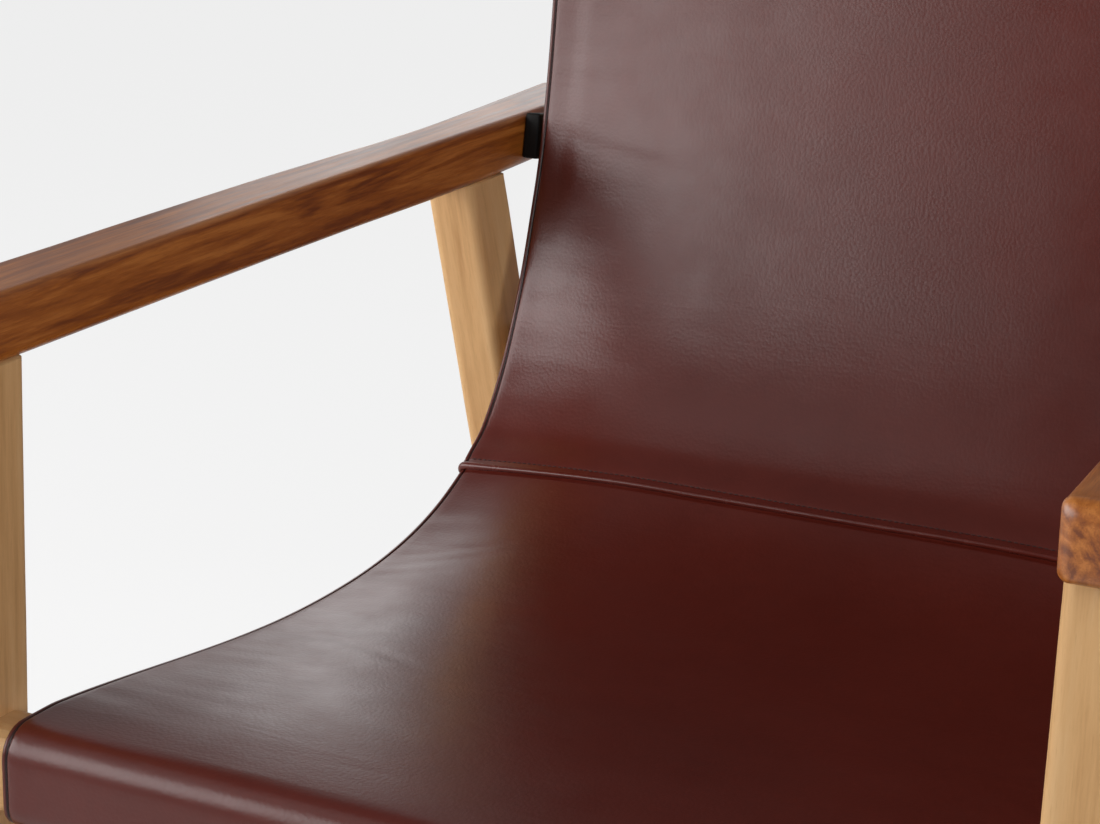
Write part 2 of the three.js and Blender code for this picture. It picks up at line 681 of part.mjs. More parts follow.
// Screws from the stile into the arm, one above the other at the arm's middle height
const armMeetY = stileAt(armHeight - ARM_FLARE_DEPTH / 2).x;
const armMeet = stileAt((armTop(armMeetY) + armUnder(armMeetY)) / 2);
const armFixing = moved(armMeet, frameBack, ARM_SCREW_BACK);
const armScrewPlaces = [-0.5, 0.5].map((share) => moved(armFixing, frameUp, share * ARM_SCREW_PITCH));

function armScrew(side, pair, make) {
  return make(at(side * stileInner, pair), acrossAxis.clone().multiplyScalar(-side));
}

// Spacer between a stile and the leg beside it, and the sleeve on a screw between the stile and the arm
function legSpacer(side) {
  return rod(LEG_SPACER_RADIUS, at(side * spacerFrom, crossing), at(side * spacerTo, crossing));
}

function armSleeve(side, pair) {
  return rod(ARM_SLEEVE_RADIUS, at(side * spacerFrom, pair), at(side * spacerTo, pair));
}

// Battens and their screws
const battenHalf = SLING_WIDTH / 2 - BATTEN_INSET;
const screwReach = battenHalf * BATTEN_SCREW_SPAN;
const screwColumns = steps(BATTEN_SCREWS - 1).map((share) => (2 * share - 1) * screwReach);
const battenLift = leatherLift + faceOuter + FIT + BATTEN_THICKNESS / 2;
const topBatten = moved(
  moved(topBend, frameBack, TOP_RAIL_THICKNESS / 2 + battenLift),
  frameUp,
  -TOP_BATTEN_DROP,
);
const frontBatten = moved(
  moved(railLowBend, railUp, -FRONT_RAIL_LOW_ROUND - battenLift),
  railAhead,
  -FRONT_BATTEN_WIDTH / 2,
);
const topScrewBases = screwColumns.map((x) => at(x, moved(topBatten, frameBack, BATTEN_THICKNESS / 2)));
const frontScrewBases = screwColumns.map((x) => at(x, moved(frontBatten, railUp, -BATTEN_THICKNESS / 2)));
const topScrewAxis = flat(frameBack);
const frontScrewAxis = flat(railUp).negate();
const topHoles = topScrewBases.map((base) => screwBody(base, topScrewAxis, BATTEN_SCREW_LENGTH, FIT));
const frontHoles = frontScrewBases.map((base) => screwBody(base, frontScrewAxis, BATTEN_SCREW_LENGTH, FIT));

function battenBody(width, middle, wide, thick) {
  const shape = evenShape(width, BATTEN_THICKNESS, BATTEN_ROUND);
  return sweep(shape, at(-battenHalf, middle), [flat(wide), flat(thick), acrossAxis], 2 * battenHalf, 1);
}

function glideBody(side, line, grow) {
  const base = at(side * (halfInner + FOOT_WIDTH / 2), new THREE.Vector2(line(GLIDE_HEIGHT), 0));
  return turned([
    [0, 0],
    [GLIDE_RADIUS - GLIDE_EASE, 0],
    [GLIDE_RADIUS, GLIDE_EASE],
    [GLIDE_RADIUS, GLIDE_HEIGHT],
    [GLIDE_PIN_RADIUS + grow, GLIDE_HEIGHT],
    [GLIDE_PIN_RADIUS + grow, GLIDE_HEIGHT + GLIDE_PIN_LENGTH + grow],
    [0, GLIDE_HEIGHT + GLIDE_PIN_LENGTH + grow],
  ], base, new THREE.Vector3(0, 0, 1), ROUND_STEPS);
}

const assembly = new THREE.Group();
assembly.name = 'chair_frame';

function piece(name, solid, look) {
  const mesh = new THREE.Mesh(toGeometry(solid), new THREE.MeshStandardMaterial(looks[look]));
  mesh.name = name;
  assembly.add(mesh);
}

// Side frames
for (const [side, word] of [[LEFT, 'left'], [RIGHT, 'right']]) {
  const armHoles = armScrewPlaces.map((pair) => armScrew(side, pair, (base, axis) => (
    screwBody(base, axis, ARM_SCREW_LENGTH, FIT)
  )));
  const arm = cut(armBody(side), [
    legTenon(side, frontLine, frontLegY, FIT),
    legTenon(side, rearLine, REAR_LEG_Y, FIT),
    ...armHoles,
  ]);
  piece(`arm_${word}`, arm, 'arm');

  const frontLeg = legBody(side, frontLine, frontLegY, 0).add(legTenon(side, frontLine, frontLegY, 0));
  piece(`front_leg_${word}`, cut(frontLeg, [
    sideTenon(side, FIT),
    boltHole(side, railBolt, railBoltLength),
    dowelBody(side, FIT),
    glideBody(side, frontLine, FIT),
  ]), 'oak');

  const rearLeg = legBody(side, rearLine, REAR_LEG_Y, 0).add(legTenon(side, rearLine, REAR_LEG_Y, 0));
  piece(`rear_leg_${word}`, cut(rearLeg, [
    sideTenon(side, FIT),
    boltHole(side, crossing, stileBoltLength),
    glideBody(side, rearLine, FIT),
  ]), 'oak');

  piece(`side_rail_${word}`, sideRail(side), 'oak');
  piece(`glide_front_${word}`, glideBody(side, frontLine, 0), 'nylon');
  piece(`glide_rear_${word}`, glideBody(side, rearLine, 0), 'nylon');

  piece(`rail_bolt_${word}`, boltBody(side, railBolt, railBoltLength), 'steel');
  const nutHole = boltHole(side, railBolt, railBoltLength + FIT);
  piece(`rail_nut_${word}`, railNut(side, 0).subtract(nutHole), 'steel');
  piece(`rail_dowel_${word}`, dowelBody(side, 0), 'oak');
  piece(`rail_plug_${word}`, plugBody(side, railBolt), 'oak');

  const stileShape = evenShape(STILE_WIDTH, STILE_DEPTH, STILE_ROUND);
  const stile = sweep(stileShape, at(side * stileX, stileEnd), upAxes, stileRun);
  piece(`stile_${word}`, cut(stile.add(stileTenon(side, 0)), [
    insertBody(side, FIT),
    boltHole(side, crossing, stileBoltLength + FIT),
    lowerTenon(FIT),
    ...armHoles,
  ]), 'oak');
  piece(`stile_bolt_${word}`, boltBody(side, crossing, stileBoltLength), 'steel');
  piece(`stile_insert_${word}`, insertBody(side, 0).subtract(
    boltHole(side, crossing, stileBoltLength + INSERT_LENGTH),
  ), 'brass');
  piece(`stile_plug_${word}`, plugBody(side, crossing), 'oak');
  piece(`stile_spacer_${word}`, legSpacer(side).subtract(boltHole(side, crossing, stileBoltLength)), 'oak');
  armScrewPlaces.forEach((pair, i) => {
    const screw = armScrew(side, pair, (base, axis) => slottedScrew(base, axis, ARM_SCREW_LENGTH));
    piece(`arm_screw_${word}_${i + 1}`, screw, 'steel');
    piece(`arm_sleeve_${word}_${i + 1}`, armSleeve(side, pair).subtract(armHoles[i]), 'nylon');
  });
}

// Rails across the chair
const frontRailShape = roundedShape(FRONT_RAIL_DEPTH, FRONT_RAIL_HEIGHT, [
  FRONT_RAIL_LOW_ROUND, FRONT_RAIL_LOW_ROUND, FRONT_RAIL_TOP_ROUND, FRONT_RAIL_LOW_ROUND,
]);
const frontRailAxes = [flat(railAhead), flat(railUp), acrossAxis];
const acrossHalf = halfInner - FIT;
const frontRailBody = sweep(frontRailShape, at(-acrossHalf, frontRail), frontRailAxes, 2 * acrossHalf);
piece('front_rail', cut(frontRailBody, [
  ...[LEFT, RIGHT].flatMap((side) => [
    boltHole(side, railBolt, railBoltLength + FIT),
    railNut(side, FIT),
    dowelBody(side, FIT),
  ]),
  ...frontHoles,
]), 'oak');

const topRound = TOP_RAIL_THICKNESS / 2;
const topRailShape = roundedShape(TOP_RAIL_THICKNESS, TOP_RAIL_HEIGHT, [
  TOP_RAIL_ROUND, TOP_RAIL_ROUND, topRound, topRound,
]);
const topRailMiddle = moved(topBend, frameUp, topRound - TOP_RAIL_HEIGHT / 2);
const topRailStart = at(-stileOuter, topRailMiddle);
const topRailBody = sweep(topRailShape, topRailStart, lengthAxes, 2 * stileOuter, WRAP_STEPS / 4);
piece('top_rail', cut(topRailBody, [stileTenon(LEFT, FIT), stileTenon(RIGHT, FIT), ...topHoles]), 'oak');

const lowerRailHalf = stileInner - FIT;
const lowerRailShape = evenShape(LOWER_RAIL_DEPTH, LOWER_RAIL_HEIGHT, STILE_ROUND);
const lowerRailBody = sweep(lowerRailShape, at(-lowerRailHalf, lowerRail), lengthAxes, 2 * lowerRailHalf);
piece('lower_rail', lowerRailBody.add(lowerTenon(0)), 'oak');

// Sling: each panel is one sheet; the holes are for the batten screws
piece('back_panel', cut(sheet(backPanel, FIT / 2, faceOuter), topHoles), 'leather');
piece('back_lining', cut(sheet(backLining, -FIT / 2 - LINING_THICKNESS, -FIT / 2), topHoles), 'suede');
piece('seat_panel', cut(sheet(seatPanel, FIT / 2, faceOuter), frontHoles), 'leather');
piece('seat_lining', cut(sheet(seatLining, -FIT / 2 - LINING_THICKNESS, -FIT / 2), frontHoles), 'suede');

// Battens
piece('top_batten', cut(battenBody(TOP_BATTEN_WIDTH, topBatten, frameUp, frameBack), topHoles), 'oak');
piece('front_batten', cut(battenBody(FRONT_BATTEN_WIDTH, frontBatten, railAhead, railUp), frontHoles), 'oak');
topScrewBases.forEach((base, i) => {
  piece(`top_screw_${i + 1}`, slottedScrew(base, topScrewAxis, BATTEN_SCREW_LENGTH), 'steel');
});
frontScrewBases.forEach((base, i) => {
  piece(`front_screw_${i + 1}`, slottedScrew(base, frontScrewAxis, BATTEN_SCREW_LENGTH), 'steel');
});

// The chair stands on z = 0 with its middle over the origin
const box = new THREE.Box3().setFromObject(assembly);
const centre = box.getCenter(new THREE.Vector3());
assembly.position.set(-centre.x, -centre.y, -box.min.z);
assembly.updateMatrixWorld(true);

const chair = new THREE.Group();
chair.name = 'sling_lounge_chair';
chair.add(assembly);
export default chair;
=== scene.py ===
"""Leather sling lounge chair: stitched leather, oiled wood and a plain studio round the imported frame."""

import math

import bmesh
import bpy
from mathutils import Matrix, Vector, noise


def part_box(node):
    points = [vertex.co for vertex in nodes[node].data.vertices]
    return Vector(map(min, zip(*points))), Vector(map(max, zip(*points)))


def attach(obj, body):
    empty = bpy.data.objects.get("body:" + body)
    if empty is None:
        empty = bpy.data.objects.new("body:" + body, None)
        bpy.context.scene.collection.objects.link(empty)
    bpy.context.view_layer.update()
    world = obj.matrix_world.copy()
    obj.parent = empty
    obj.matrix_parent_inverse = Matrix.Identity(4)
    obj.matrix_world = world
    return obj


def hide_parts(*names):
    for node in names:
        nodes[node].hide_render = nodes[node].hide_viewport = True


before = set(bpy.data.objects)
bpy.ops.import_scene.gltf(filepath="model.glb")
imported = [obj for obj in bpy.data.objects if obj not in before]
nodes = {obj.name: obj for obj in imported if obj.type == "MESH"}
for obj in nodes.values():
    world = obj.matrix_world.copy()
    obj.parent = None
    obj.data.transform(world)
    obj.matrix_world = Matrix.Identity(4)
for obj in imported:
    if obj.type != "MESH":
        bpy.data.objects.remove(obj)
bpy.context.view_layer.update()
MM = 0.001
TINY = 1e-6

# Sizes of the sling, in metres, as in the part's source
SLING_WIDTH = 0.560
FIT = 0.0003
FACE = 0.0024
LINING = 0.0020
HOLLOW_Y = 0.134219
HOLLOW_HEIGHT = 0.378
HOLLOW_PITCH = math.radians(23.5)
SEAM_UP_BACK = 0.003
SEAM_LAP = 0.014
LAP_RAMP = 0.024
BACK_SLOPE = math.radians(16)
SEAT_RISE = math.radians(3.5)
BACK_PULL_TOP = 0.4
BACK_PULL_HOLLOW = 0.247
SEAT_PULL_HOLLOW = 0.274
SEAT_PULL_FRONT = 0.336
EDGE_SAG = 0.0135
EDGE_ROLL = 0.170
SAG_RUN_TOP = 0.180
SAG_RUN_FRONT = 0.280
SAG_START_TOP = 0.046
SAG_START_FRONT = 0.028
FREE_RUN_TOP = 0.060
FREE_RUN_FRONT = 0.050
TOP_TAIL = 0.037
FRONT_TAIL = 0.020

# Rails that the sling wraps
TOP_RAIL_BACK = 0.205
TOP_RAIL_UP = 0.397
TOP_RAIL = Vector((HOLLOW_Y + TOP_RAIL_BACK, HOLLOW_HEIGHT + TOP_RAIL_UP))
TOP_RAIL_RADIUS = 0.018
FRAME_RECLINE = math.radians(12.5)
FRONT_RAIL_ROUND = 0.014
FRONT_RAIL_LOW_ROUND = 0.008
FRONT_RAIL_DEPTH = 0.038
FRONT_RAIL_HEIGHT = 0.050
front_low, front_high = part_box("front_rail")
FRONT_RAIL = Vector(((front_low.y + front_high.y) / 2, (front_low.z + front_high.z) / 2))

# Stitching, leather edges and the roll along the seam
STITCH_INSET = 0.0034
STITCH_PITCH = 0.0042
STITCH_LENGTH = 0.0033
THREAD = 0.0008
THREAD_LIFT = 0.2
THREAD_SIDES = 6
THREAD_RINGS = 4
STITCH_CLEAR = 0.004
SEAT_STITCH_START = 0.003
HEM_STITCH_CLEAR = 0.007
PROBE = 0.001
GROOVE_DEPTH = 0.0010
GROOVE_WIDTH = 0.0008
LIP_DROP = 0.0006
LIP_WIDTH = 0.0012
EDGE_PUFF = 0.0007
PUFF_START = 0.0034
PUFF_RUN = 0.0050
EDGE_ROUND = 0.0008
BAND_STEP = 0.0014
BAND_WIDTH = 0.023
BAND_RUN = 0.009
BAND_FADE_AT = 0.300
BAND_FADE = 0.060
HEM = 0.0062
HEM_RISE = 0.0007
HEM_GROOVE = 0.0003
PRESS_DEPTH = 0.0006
PRESS_WIDTH = 0.0018
ROLL_RADIUS = 0.0021
ROLL_SINK = 0.0006
ROLL_UP = 0.0025
ROLL_FLARE = 0.45
ROLL_FLARE_RUN = 0.020
ROLL_TURN_PROUD = 0.0008
ROLL_TAIL = 0.007
ROLL_SWELL = 0.07
ROLL_SWELL_RUN = 0.021
ROLL_DRIFT = 0.0004
ROLL_DRIFT_RUN = 0.060
ROLL_TURN_STEPS = 12
ROLL_STEPS = 240
ROLL_SIDES = 14

# Arms and legs
INNER_FACE = 0.298
REAR_LEG_BACK = 0.094
LEG_SPACING = 0.5905
ARM_ABOVE_HOLLOW = 0.232
REAR_LEG_Y = HOLLOW_Y + REAR_LEG_BACK
FRONT_LEG_Y = REAR_LEG_Y - LEG_SPACING
ARM_TOP = HOLLOW_HEIGHT + ARM_ABOVE_HOLLOW
ARM_TILT = math.radians(3)
ARM_ROUND = 0.0055
ARM_NOSE = 0.009
LEG_WIDTH = 0.040
LEG_DEPTH = 0.058
LEG_ROUND = 0.007
FOOT_WIDTH = 0.032
FOOT_DEPTH = 0.040
FOOT_EASE = 0.002
FOOT_Z = 0.0053
TAPER_Z = 0.234
RAIL_ROUND = 0.004
RAIL_HOLLOW = 0.009
# Dark block between arm and stile: painted shade standing in for the shadow on the arm's end beside the
# leather
SHADE_BLOCK_DEPTH = 0.034
SHADE_BLOCK_HEIGHT = 0.0345
SHADE_BLOCK_ROUND = 0.002
SHADE_BLOCK_FORWARD = 0.0055
SHADE_BLOCK_RISE = 0.0018
WORK_WAVES = (0.030, 0.080, 0.050)
WORK_DEPTH = 0.00018
PLUG_LENGTH = 0.006
PLUG_SINK = 0.0022
PLUG_RIM = 0.0007
PLUG_SIDES = 32
REAR_RAKE = math.radians(16)
FRONT_RAKE = math.radians(-5)
# Rings along the arms, legs and side rails
NOSE_STEPS = 8
NOSE_GAP = 0.003
ARM_STEPS = 72
FOOT_STEPS = 4
TAPER_STEPS = 12
SHANK_STEPS = 14
SHANK_CLEAR = 0.030
SHOULDER = 0.0015
RAIL_STEPS = 40
# Place, width and depth of the arm's sections, from its front end to its rear end
ARM_SECTIONS = [
    (FRONT_LEG_Y - 0.046, 0.0470, 0.0400),
    (REAR_LEG_Y - 0.244, 0.0470, 0.0400),
    (REAR_LEG_Y - 0.049, 0.0415, 0.0415),
    (REAR_LEG_Y + 0.061, 0.0460, 0.0400),
    (REAR_LEG_Y + 0.206, 0.0545, 0.0350),
]


def polar(angle):
    return Vector((math.cos(angle), math.sin(angle)))


# The sling's course in the side plane, as (y, z) points from behind the top rail to under the front rail
def line_course(start, end, steps):
    return [start.lerp(end, i / steps) for i in range(steps + 1)]


def arc_course(centre, radius, start, end, steps):
    return [centre + polar(start + (end - start) * i / steps) * radius for i in range(steps + 1)]


def bezier_course(a, b, c, d, steps):
    points = []
    for i in range(steps + 1):
        t = i / steps
        s = 1 - t
        points.append(a * s**3 + b * (3 * s * s * t) + c * (3 * s * t * t) + d * t**3)
    return points


lift = FIT + LINING + FIT / 2
frame_up = Vector((math.sin(FRAME_RECLINE), math.cos(FRAME_RECLINE)))
frame_back = Vector((math.cos(FRAME_RECLINE), -math.sin(FRAME_RECLINE)))
rail_ahead = Vector((-math.cos(SEAT_RISE), math.sin(SEAT_RISE)))
rail_up = Vector((math.sin(SEAT_RISE), math.cos(SEAT_RISE)))
hollow = Vector((HOLLOW_Y, HOLLOW_HEIGHT))
hollow_along = Vector((-math.cos(HOLLOW_PITCH), -math.sin(HOLLOW_PITCH)))
top_radius = TOP_RAIL_RADIUS + lift
leave = TOP_RAIL + Vector((-math.cos(BACK_SLOPE), math.sin(BACK_SLOPE))) * top_radius
back_down = Vector((-math.sin(BACK_SLOPE), -math.cos(BACK_SLOPE)))
bend = (
    FRONT_RAIL
    + rail_ahead * (FRONT_RAIL_DEPTH / 2 - FRONT_RAIL_ROUND)
    + rail_up * (FRONT_RAIL_HEIGHT / 2 - FRONT_RAIL_ROUND)
)
low_bend = (
    FRONT_RAIL
    + rail_ahead * (FRONT_RAIL_DEPTH / 2 - FRONT_RAIL_LOW_ROUND)
    + rail_up * (FRONT_RAIL_LOW_ROUND - FRONT_RAIL_HEIGHT / 2)
)
bend_radius = FRONT_RAIL_ROUND + lift
low_radius = FRONT_RAIL_LOW_ROUND + lift
meet = bend + rail_up * bend_radius
tail_end = TOP_RAIL + frame_back * top_radius
low_start = low_bend - rail_up * low_radius
back_span = (leave - hollow).length
seat_span = (meet - hollow).length

# Steps of the course's stretches
TAIL_STEPS = 40
OVER_STEPS = 90
SPAN_STEPS = 400
BEND_STEPS = 50
LOW_STEPS = 40
END_STEPS = 20
STRETCHES = [
    ("tail", line_course(tail_end - frame_up * TOP_TAIL, tail_end, TAIL_STEPS)),
    ("over", arc_course(TOP_RAIL, top_radius, -FRAME_RECLINE, math.pi - BACK_SLOPE, OVER_STEPS)),
    (
        "back",
        bezier_course(
            leave,
            leave + back_down * BACK_PULL_TOP * back_span,
            hollow - hollow_along * BACK_PULL_HOLLOW * back_span,
            hollow,
            SPAN_STEPS,
        ),
    ),
    (
        "seat",
        bezier_course(
            hollow,
            hollow + hollow_along * SEAT_PULL_HOLLOW * seat_span,
            meet - rail_ahead * SEAT_PULL_FRONT * seat_span,
            meet,
            SPAN_STEPS,
        ),
    ),
    ("bend", arc_course(bend, bend_radius, math.pi / 2 - SEAT_RISE, math.pi - SEAT_RISE, BEND_STEPS)),
    ("low", arc_course(low_bend, low_radius, math.pi - SEAT_RISE, 1.5 * math.pi - SEAT_RISE, LOW_STEPS)),
    ("end", line_course(low_start, low_start - rail_ahead * FRONT_TAIL, END_STEPS)),
]
course = []
reach = []
ends = {}
for name, points in STRETCHES:
    for point in points:
        if not course:
            course.append(point)
            reach.append(0.0)
        elif (point - course[-1]).length > TINY:
            reach.append(reach[-1] + (point - course[-1]).length)
            course.append(point)
    ends[name] = reach[-1]
LEAVE_AT = ends["over"]
HOLLOW_AT = ends["back"]
SEAM_AT = HOLLOW_AT - SEAM_UP_BACK
MEET_AT = ends["seat"]
COURSE_LENGTH = reach[-1]


def course_at(distance):
    """Place and outward normal on the course, at a distance along it."""
    distance = min(max(distance, 0.0), COURSE_LENGTH)
    low, high = 0, len(reach) - 1
    while high - low > 1:
        middle = (low + high) // 2
        if reach[middle] <= distance:
            low = middle
        else:
            high = middle
    share = (distance - reach[low]) / (reach[high] - reach[low])
    before = course[max(low - 1, 0)]
    after = course[min(high + 1, len(course) - 1)]
    ahead = (course[high] - before).normalized().lerp((after - course[low]).normalized(), share).normalized()
    return course[low].lerp(course[high], share), Vector((ahead.y, -ahead.x))


def ease(share):
    return math.sin(math.pi / 2 * min(max(share, 0.0), 1.0))


def smooth(share):
    share = min(max(share, 0.0), 1.0)
    return share * share * (3 - 2 * share)


def sag_at(distance):
    if distance < HOLLOW_AT:
        return EDGE_SAG * ease((distance - LEAVE_AT - SAG_START_TOP) / SAG_RUN_TOP)
    return EDGE_SAG * ease((MEET_AT - distance - SAG_START_FRONT) / SAG_RUN_FRONT)


def free_share(distance):
    """How free the leather is: nothing on the rails, all in the middle of its span."""
    return smooth((distance - LEAVE_AT) / FREE_RUN_TOP) * smooth((MEET_AT - distance) / FREE_RUN_FRONT)


def bell(offset, width):
    return math.exp(-((offset / width) ** 2))


# Shallow folds drawn in by use: both ends as (x, distance), half width and depth
FOLDS = [
    ((-0.246, 0.2915), (-0.160, 0.3055), 0.0050, 0.00042),
    ((-0.268, 0.4060), (-0.226, 0.3960), 0.0050, 0.00030),
    ((-0.258, 0.6640), (-0.200, 0.6380), 0.0042, 0.00032),
    ((-0.262, 0.6840), (-0.198, 0.6550), 0.0042, 0.00040),
    ((-0.264, 0.7040), (-0.220, 0.6870), 0.0042, 0.00028),
    ((-0.240, 0.8300), (-0.150, 0.8700), 0.0060, 0.00030),
]
FOLD_SHIFT = 0.013
# Shares of a fold's length: how far it runs on past each end, and over how much it fades in from there
FOLD_PAST = 0.3
FOLD_FADE = 0.5
# Unevenness of the leather: sizes of the waves across and along, and their depth
BROAD_ACROSS = 0.160
BROAD_ALONG = 0.120
BROAD_DEPTH = 0.0007
BROAD_CLEAR = 0.050
CREASE_ACROSS = 0.075
CREASE_ALONG = 0.017
CREASE_DEPTH = 0.00034
CREASE_REACH = 0.085
CREASE_CLEAR = 0.012
CREASE_SEED = 9.0
PULL_ACROSS = 0.022
PULL_DEPTH = 0.00045
PULL_REACH = 0.026
PULL_CLEAR = 0.004
PULL_RUN = 0.012
PULL_SEED = 4.0


def folds(x, distance):
    """Depth of the folds at a place; those on the right lie a little nearer the top rail."""
    place = Vector((-abs(x), distance + (FOLD_SHIFT if x > 0 else 0.0)))
    depth = 0.0
    for start, end, half, deep in FOLDS:
        start, run = Vector(start), Vector(end) - Vector(start)
        share = (place - start).dot(run) / run.length_squared
        if -FOLD_PAST < share < 1 + FOLD_PAST:
            off = (place - start - run * share).length
            coming = smooth((share + FOLD_PAST) / FOLD_FADE)
            going = smooth((1 + FOLD_PAST - share) / FOLD_FADE)
            depth -= deep * bell(off, half) * coming * going
    return depth


def slack(x, distance):
    """Soft unevenness of hanging leather: broad waves, short creases by the edges and pulls at the seam."""
    inset = SLING_WIDTH / 2 - abs(x)
    broad = noise.noise(Vector((x / BROAD_ACROSS, distance / BROAD_ALONG, 0))) * BROAD_DEPTH
    broad *= smooth(inset / BROAD_CLEAR)
    crease = noise.noise(Vector((x / CREASE_ACROSS + CREASE_SEED, distance / CREASE_ALONG, 0))) * CREASE_DEPTH
    crease *= bell(inset, CREASE_REACH) * smooth(inset / CREASE_CLEAR)
    gap = distance - SEAM_AT
    pull = noise.noise(Vector((x / PULL_ACROSS, PULL_SEED, 0))) * PULL_DEPTH
    pull *= bell(gap, PULL_REACH) * smooth((abs(gap) - PULL_CLEAR) / PULL_RUN)
    return free_share(distance) * (broad + crease + pull + folds(x, distance))


def on_sling(x, distance, height):
    """Point of the sling: x across, distance along it, height from the middle of its two layers."""
    point, normal = course_at(distance)
    inset = max(0.0, 1 - (SLING_WIDTH / 2 - abs(x)) / EDGE_ROLL)
    out = height - sag_at(distance) * inset * inset + slack(x, distance)
    return Vector((x, point.x + normal.x * out, point.y + normal.y * out))


def new_piece(name, bm, material):
    """A smooth-shaded piece of the chair, riding on its one body."""
    mesh = bpy.data.meshes.new(name)
    bm.to_mesh(mesh)
    bm.free()
    mesh.materials.append(material)
    mesh.shade_smooth()
    piece = bpy.data.objects.new(name, mesh)
    bpy.context.scene.collection.objects.link(piece)
    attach(piece, "root")
    return piece


# Places across a panel, in millimetres from its edge: close together at the stitching, then even steps
EDGE_PLACES = [
    0, 0.5, 1, 1.5, 2, 2.4, 2.8, 3.1, 3.4, 3.7, 4, 4.4, 4.9, 5.5, 6.3, 7.3, 8.5, 10, 12, 15, 19, 24, 30, 37,
]
MIDDLE_STEPS = 130
# Steps along the panels
BACK_ROW = 0.0042
SEAT_ROW = 0.0040
LINING_ROW = 0.0080
FINE_ROW = 0.0006
HEM_ROWS_BEFORE = 0.003
ROLL_ROWS_BEFORE = 0.004
ROLL_ROWS_AFTER = 0.006
# Angle between faces, in radians, past which an edge of the flat cut is sharp
SHARP = 1.0


def across_places():
    half = SLING_WIDTH / 2
    edge = [half - place * MM for place in EDGE_PLACES]
    inner = edge[-1]
    middle = [inner - 2 * inner * i / MIDDLE_STEPS for i in range(1, MIDDLE_STEPS)]
    return [-x for x in edge + middle] + edge[::-1]


def flat_sheet(across, along, thickness):
    """A flat cut of leather in (x, distance, height), its top at height 0, with rounded cut edges."""
    bm = bmesh.new()
    columns, rows = len(across) - 1, len(along) - 1
    bmesh.ops.create_grid(bm, x_segments=columns, y_segments=rows, size=0.5)
    for vertex in bm.verts:
        column = round((vertex.co.x + 0.5) * columns)
        row = round((vertex.co.y + 0.5) * rows)
        vertex.co = Vector((across[column], along[row], 0.0))
    bmesh.ops.solidify(bm, geom=bm.faces[:], thickness=thickness)
    top = max(vertex.co.z for vertex in bm.verts)
    for vertex in bm.verts:
        vertex.co.z -= top
    bmesh.ops.recalc_face_normals(bm, faces=bm.faces[:])
    rim = [edge for edge in bm.edges if edge.calc_face_angle(0) > SHARP]
    bmesh.ops.bevel(
        bm, geom=rim, offset=EDGE_ROUND, offset_type="OFFSET", segments=2,
        profile=0.5, affect="EDGES", clamp_overlap=True, material=-1,
    )
    return bm


def leather_panel(name, rows, thickness, top, shape, material):
    """A panel cut flat, then hung on the sling's course; shape gives the extra height of its top face."""
    bm = flat_sheet(across_places(), rows, thickness)
    flat_map = bm.loops.layers.uv.new("flat")
    for face in bm.faces:
        for loop in face.loops:
            loop[flat_map].uv = (loop.vert.co.x, loop.vert.co.y)
    for vertex in bm.verts:
        x, distance, height = vertex.co
        share = 1 + height / thickness
        vertex.co = on_sling(x, distance, top + height + shape(x, distance, share))
    return new_piece(name, bm, material)


def spread_rows(start, end, step, fine):
    """Distances along a panel: even steps, with much finer ones where fine says so."""
    rows = [start]
    while rows[-1] < end - TINY:
        here = rows[-1]
        pace = FINE_ROW if fine(here) else step
        rows.append(min(here + pace, end))
    return rows


def edge_form(x, share):
    """Cut edge from outside inwards, on the face side only: rounded lip, stitch groove, puffed leather."""
    inset = SLING_WIDTH / 2 - abs(x)
    lip = -LIP_DROP * (1 - smooth(inset / LIP_WIDTH))
    groove = -GROOVE_DEPTH * bell(inset - STITCH_INSET, GROOVE_WIDTH)
    puff = 0.0
    if inset > PUFF_START:
        far = (inset - PUFF_START) / PUFF_RUN
        puff = EDGE_PUFF * far * math.exp(1 - far)
    return (lip + groove + puff) * share


LAP_LIFT = FACE + FIT


def side_band(x, distance):
    """The upper back lies a little lower in a band along each side, down to where the band fades out."""
    inset = SLING_WIDTH / 2 - abs(x)
    lower = 1 - smooth((distance - BAND_FADE_AT) / BAND_FADE)
    return -BAND_STEP * (1 - smooth((inset - BAND_WIDTH) / BAND_RUN)) * lower * free_share(distance)


def back_form(x, distance, share):
    """The back panel climbs over the seat panel and rises again to the roll at its lower end."""
    climb = LAP_LIFT * smooth((distance - (SEAM_AT - SEAM_LAP - LAP_RAMP)) / LAP_RAMP)
    left = SEAM_AT - ROLL_UP - distance
    rise = HEM_RISE * (1 - smooth(left / HEM))
    groove = -HEM_GROOVE * share * bell(left - HEM, GROOVE_WIDTH)
    return climb + rise + groove + edge_form(x, share) + side_band(x, distance) * share


def seat_form(x, distance, share):
    """The seat panel is pressed in a little under the roll."""
    pressed = -PRESS_DEPTH * share * bell(distance - SEAM_AT, PRESS_WIDTH)
    return pressed + edge_form(x, share)


def lining_form(x, distance, share):
    """The linings lie plainly against the face leather."""
    return 0.0


def near_hem(distance):
    return SEAM_AT - ROLL_UP - HEM - HEM_ROWS_BEFORE < distance < SEAM_AT


def near_roll(distance):
    return SEAM_AT - ROLL_ROWS_BEFORE < distance < SEAM_AT + ROLL_ROWS_AFTER


def never(distance):
    return False


# Tubes and bars: rings of points, one after the other, closed at both ends
CORNER_STEPS = 6
CORNER_GUARD = 0.0014


def lofted(rings):
    """A closed body through rings that all have the same number of points."""
    bm = bmesh.new()
    around, along = len(rings[0]), len(rings) - 1
    bmesh.ops.create_grid(bm, x_segments=around, y_segments=along, size=0.5)
    for vertex in bm.verts:
        column = round((vertex.co.x + 0.5) * around) % around
        row = round((vertex.co.y + 0.5) * along)
        vertex.co = rings[row][column]
    bmesh.ops.remove_doubles(bm, verts=bm.verts[:], dist=1e-7)
    bmesh.ops.holes_fill(bm, edges=bm.edges[:], sides=0)
    bmesh.ops.recalc_face_normals(bm, faces=bm.faces[:])
    return bm


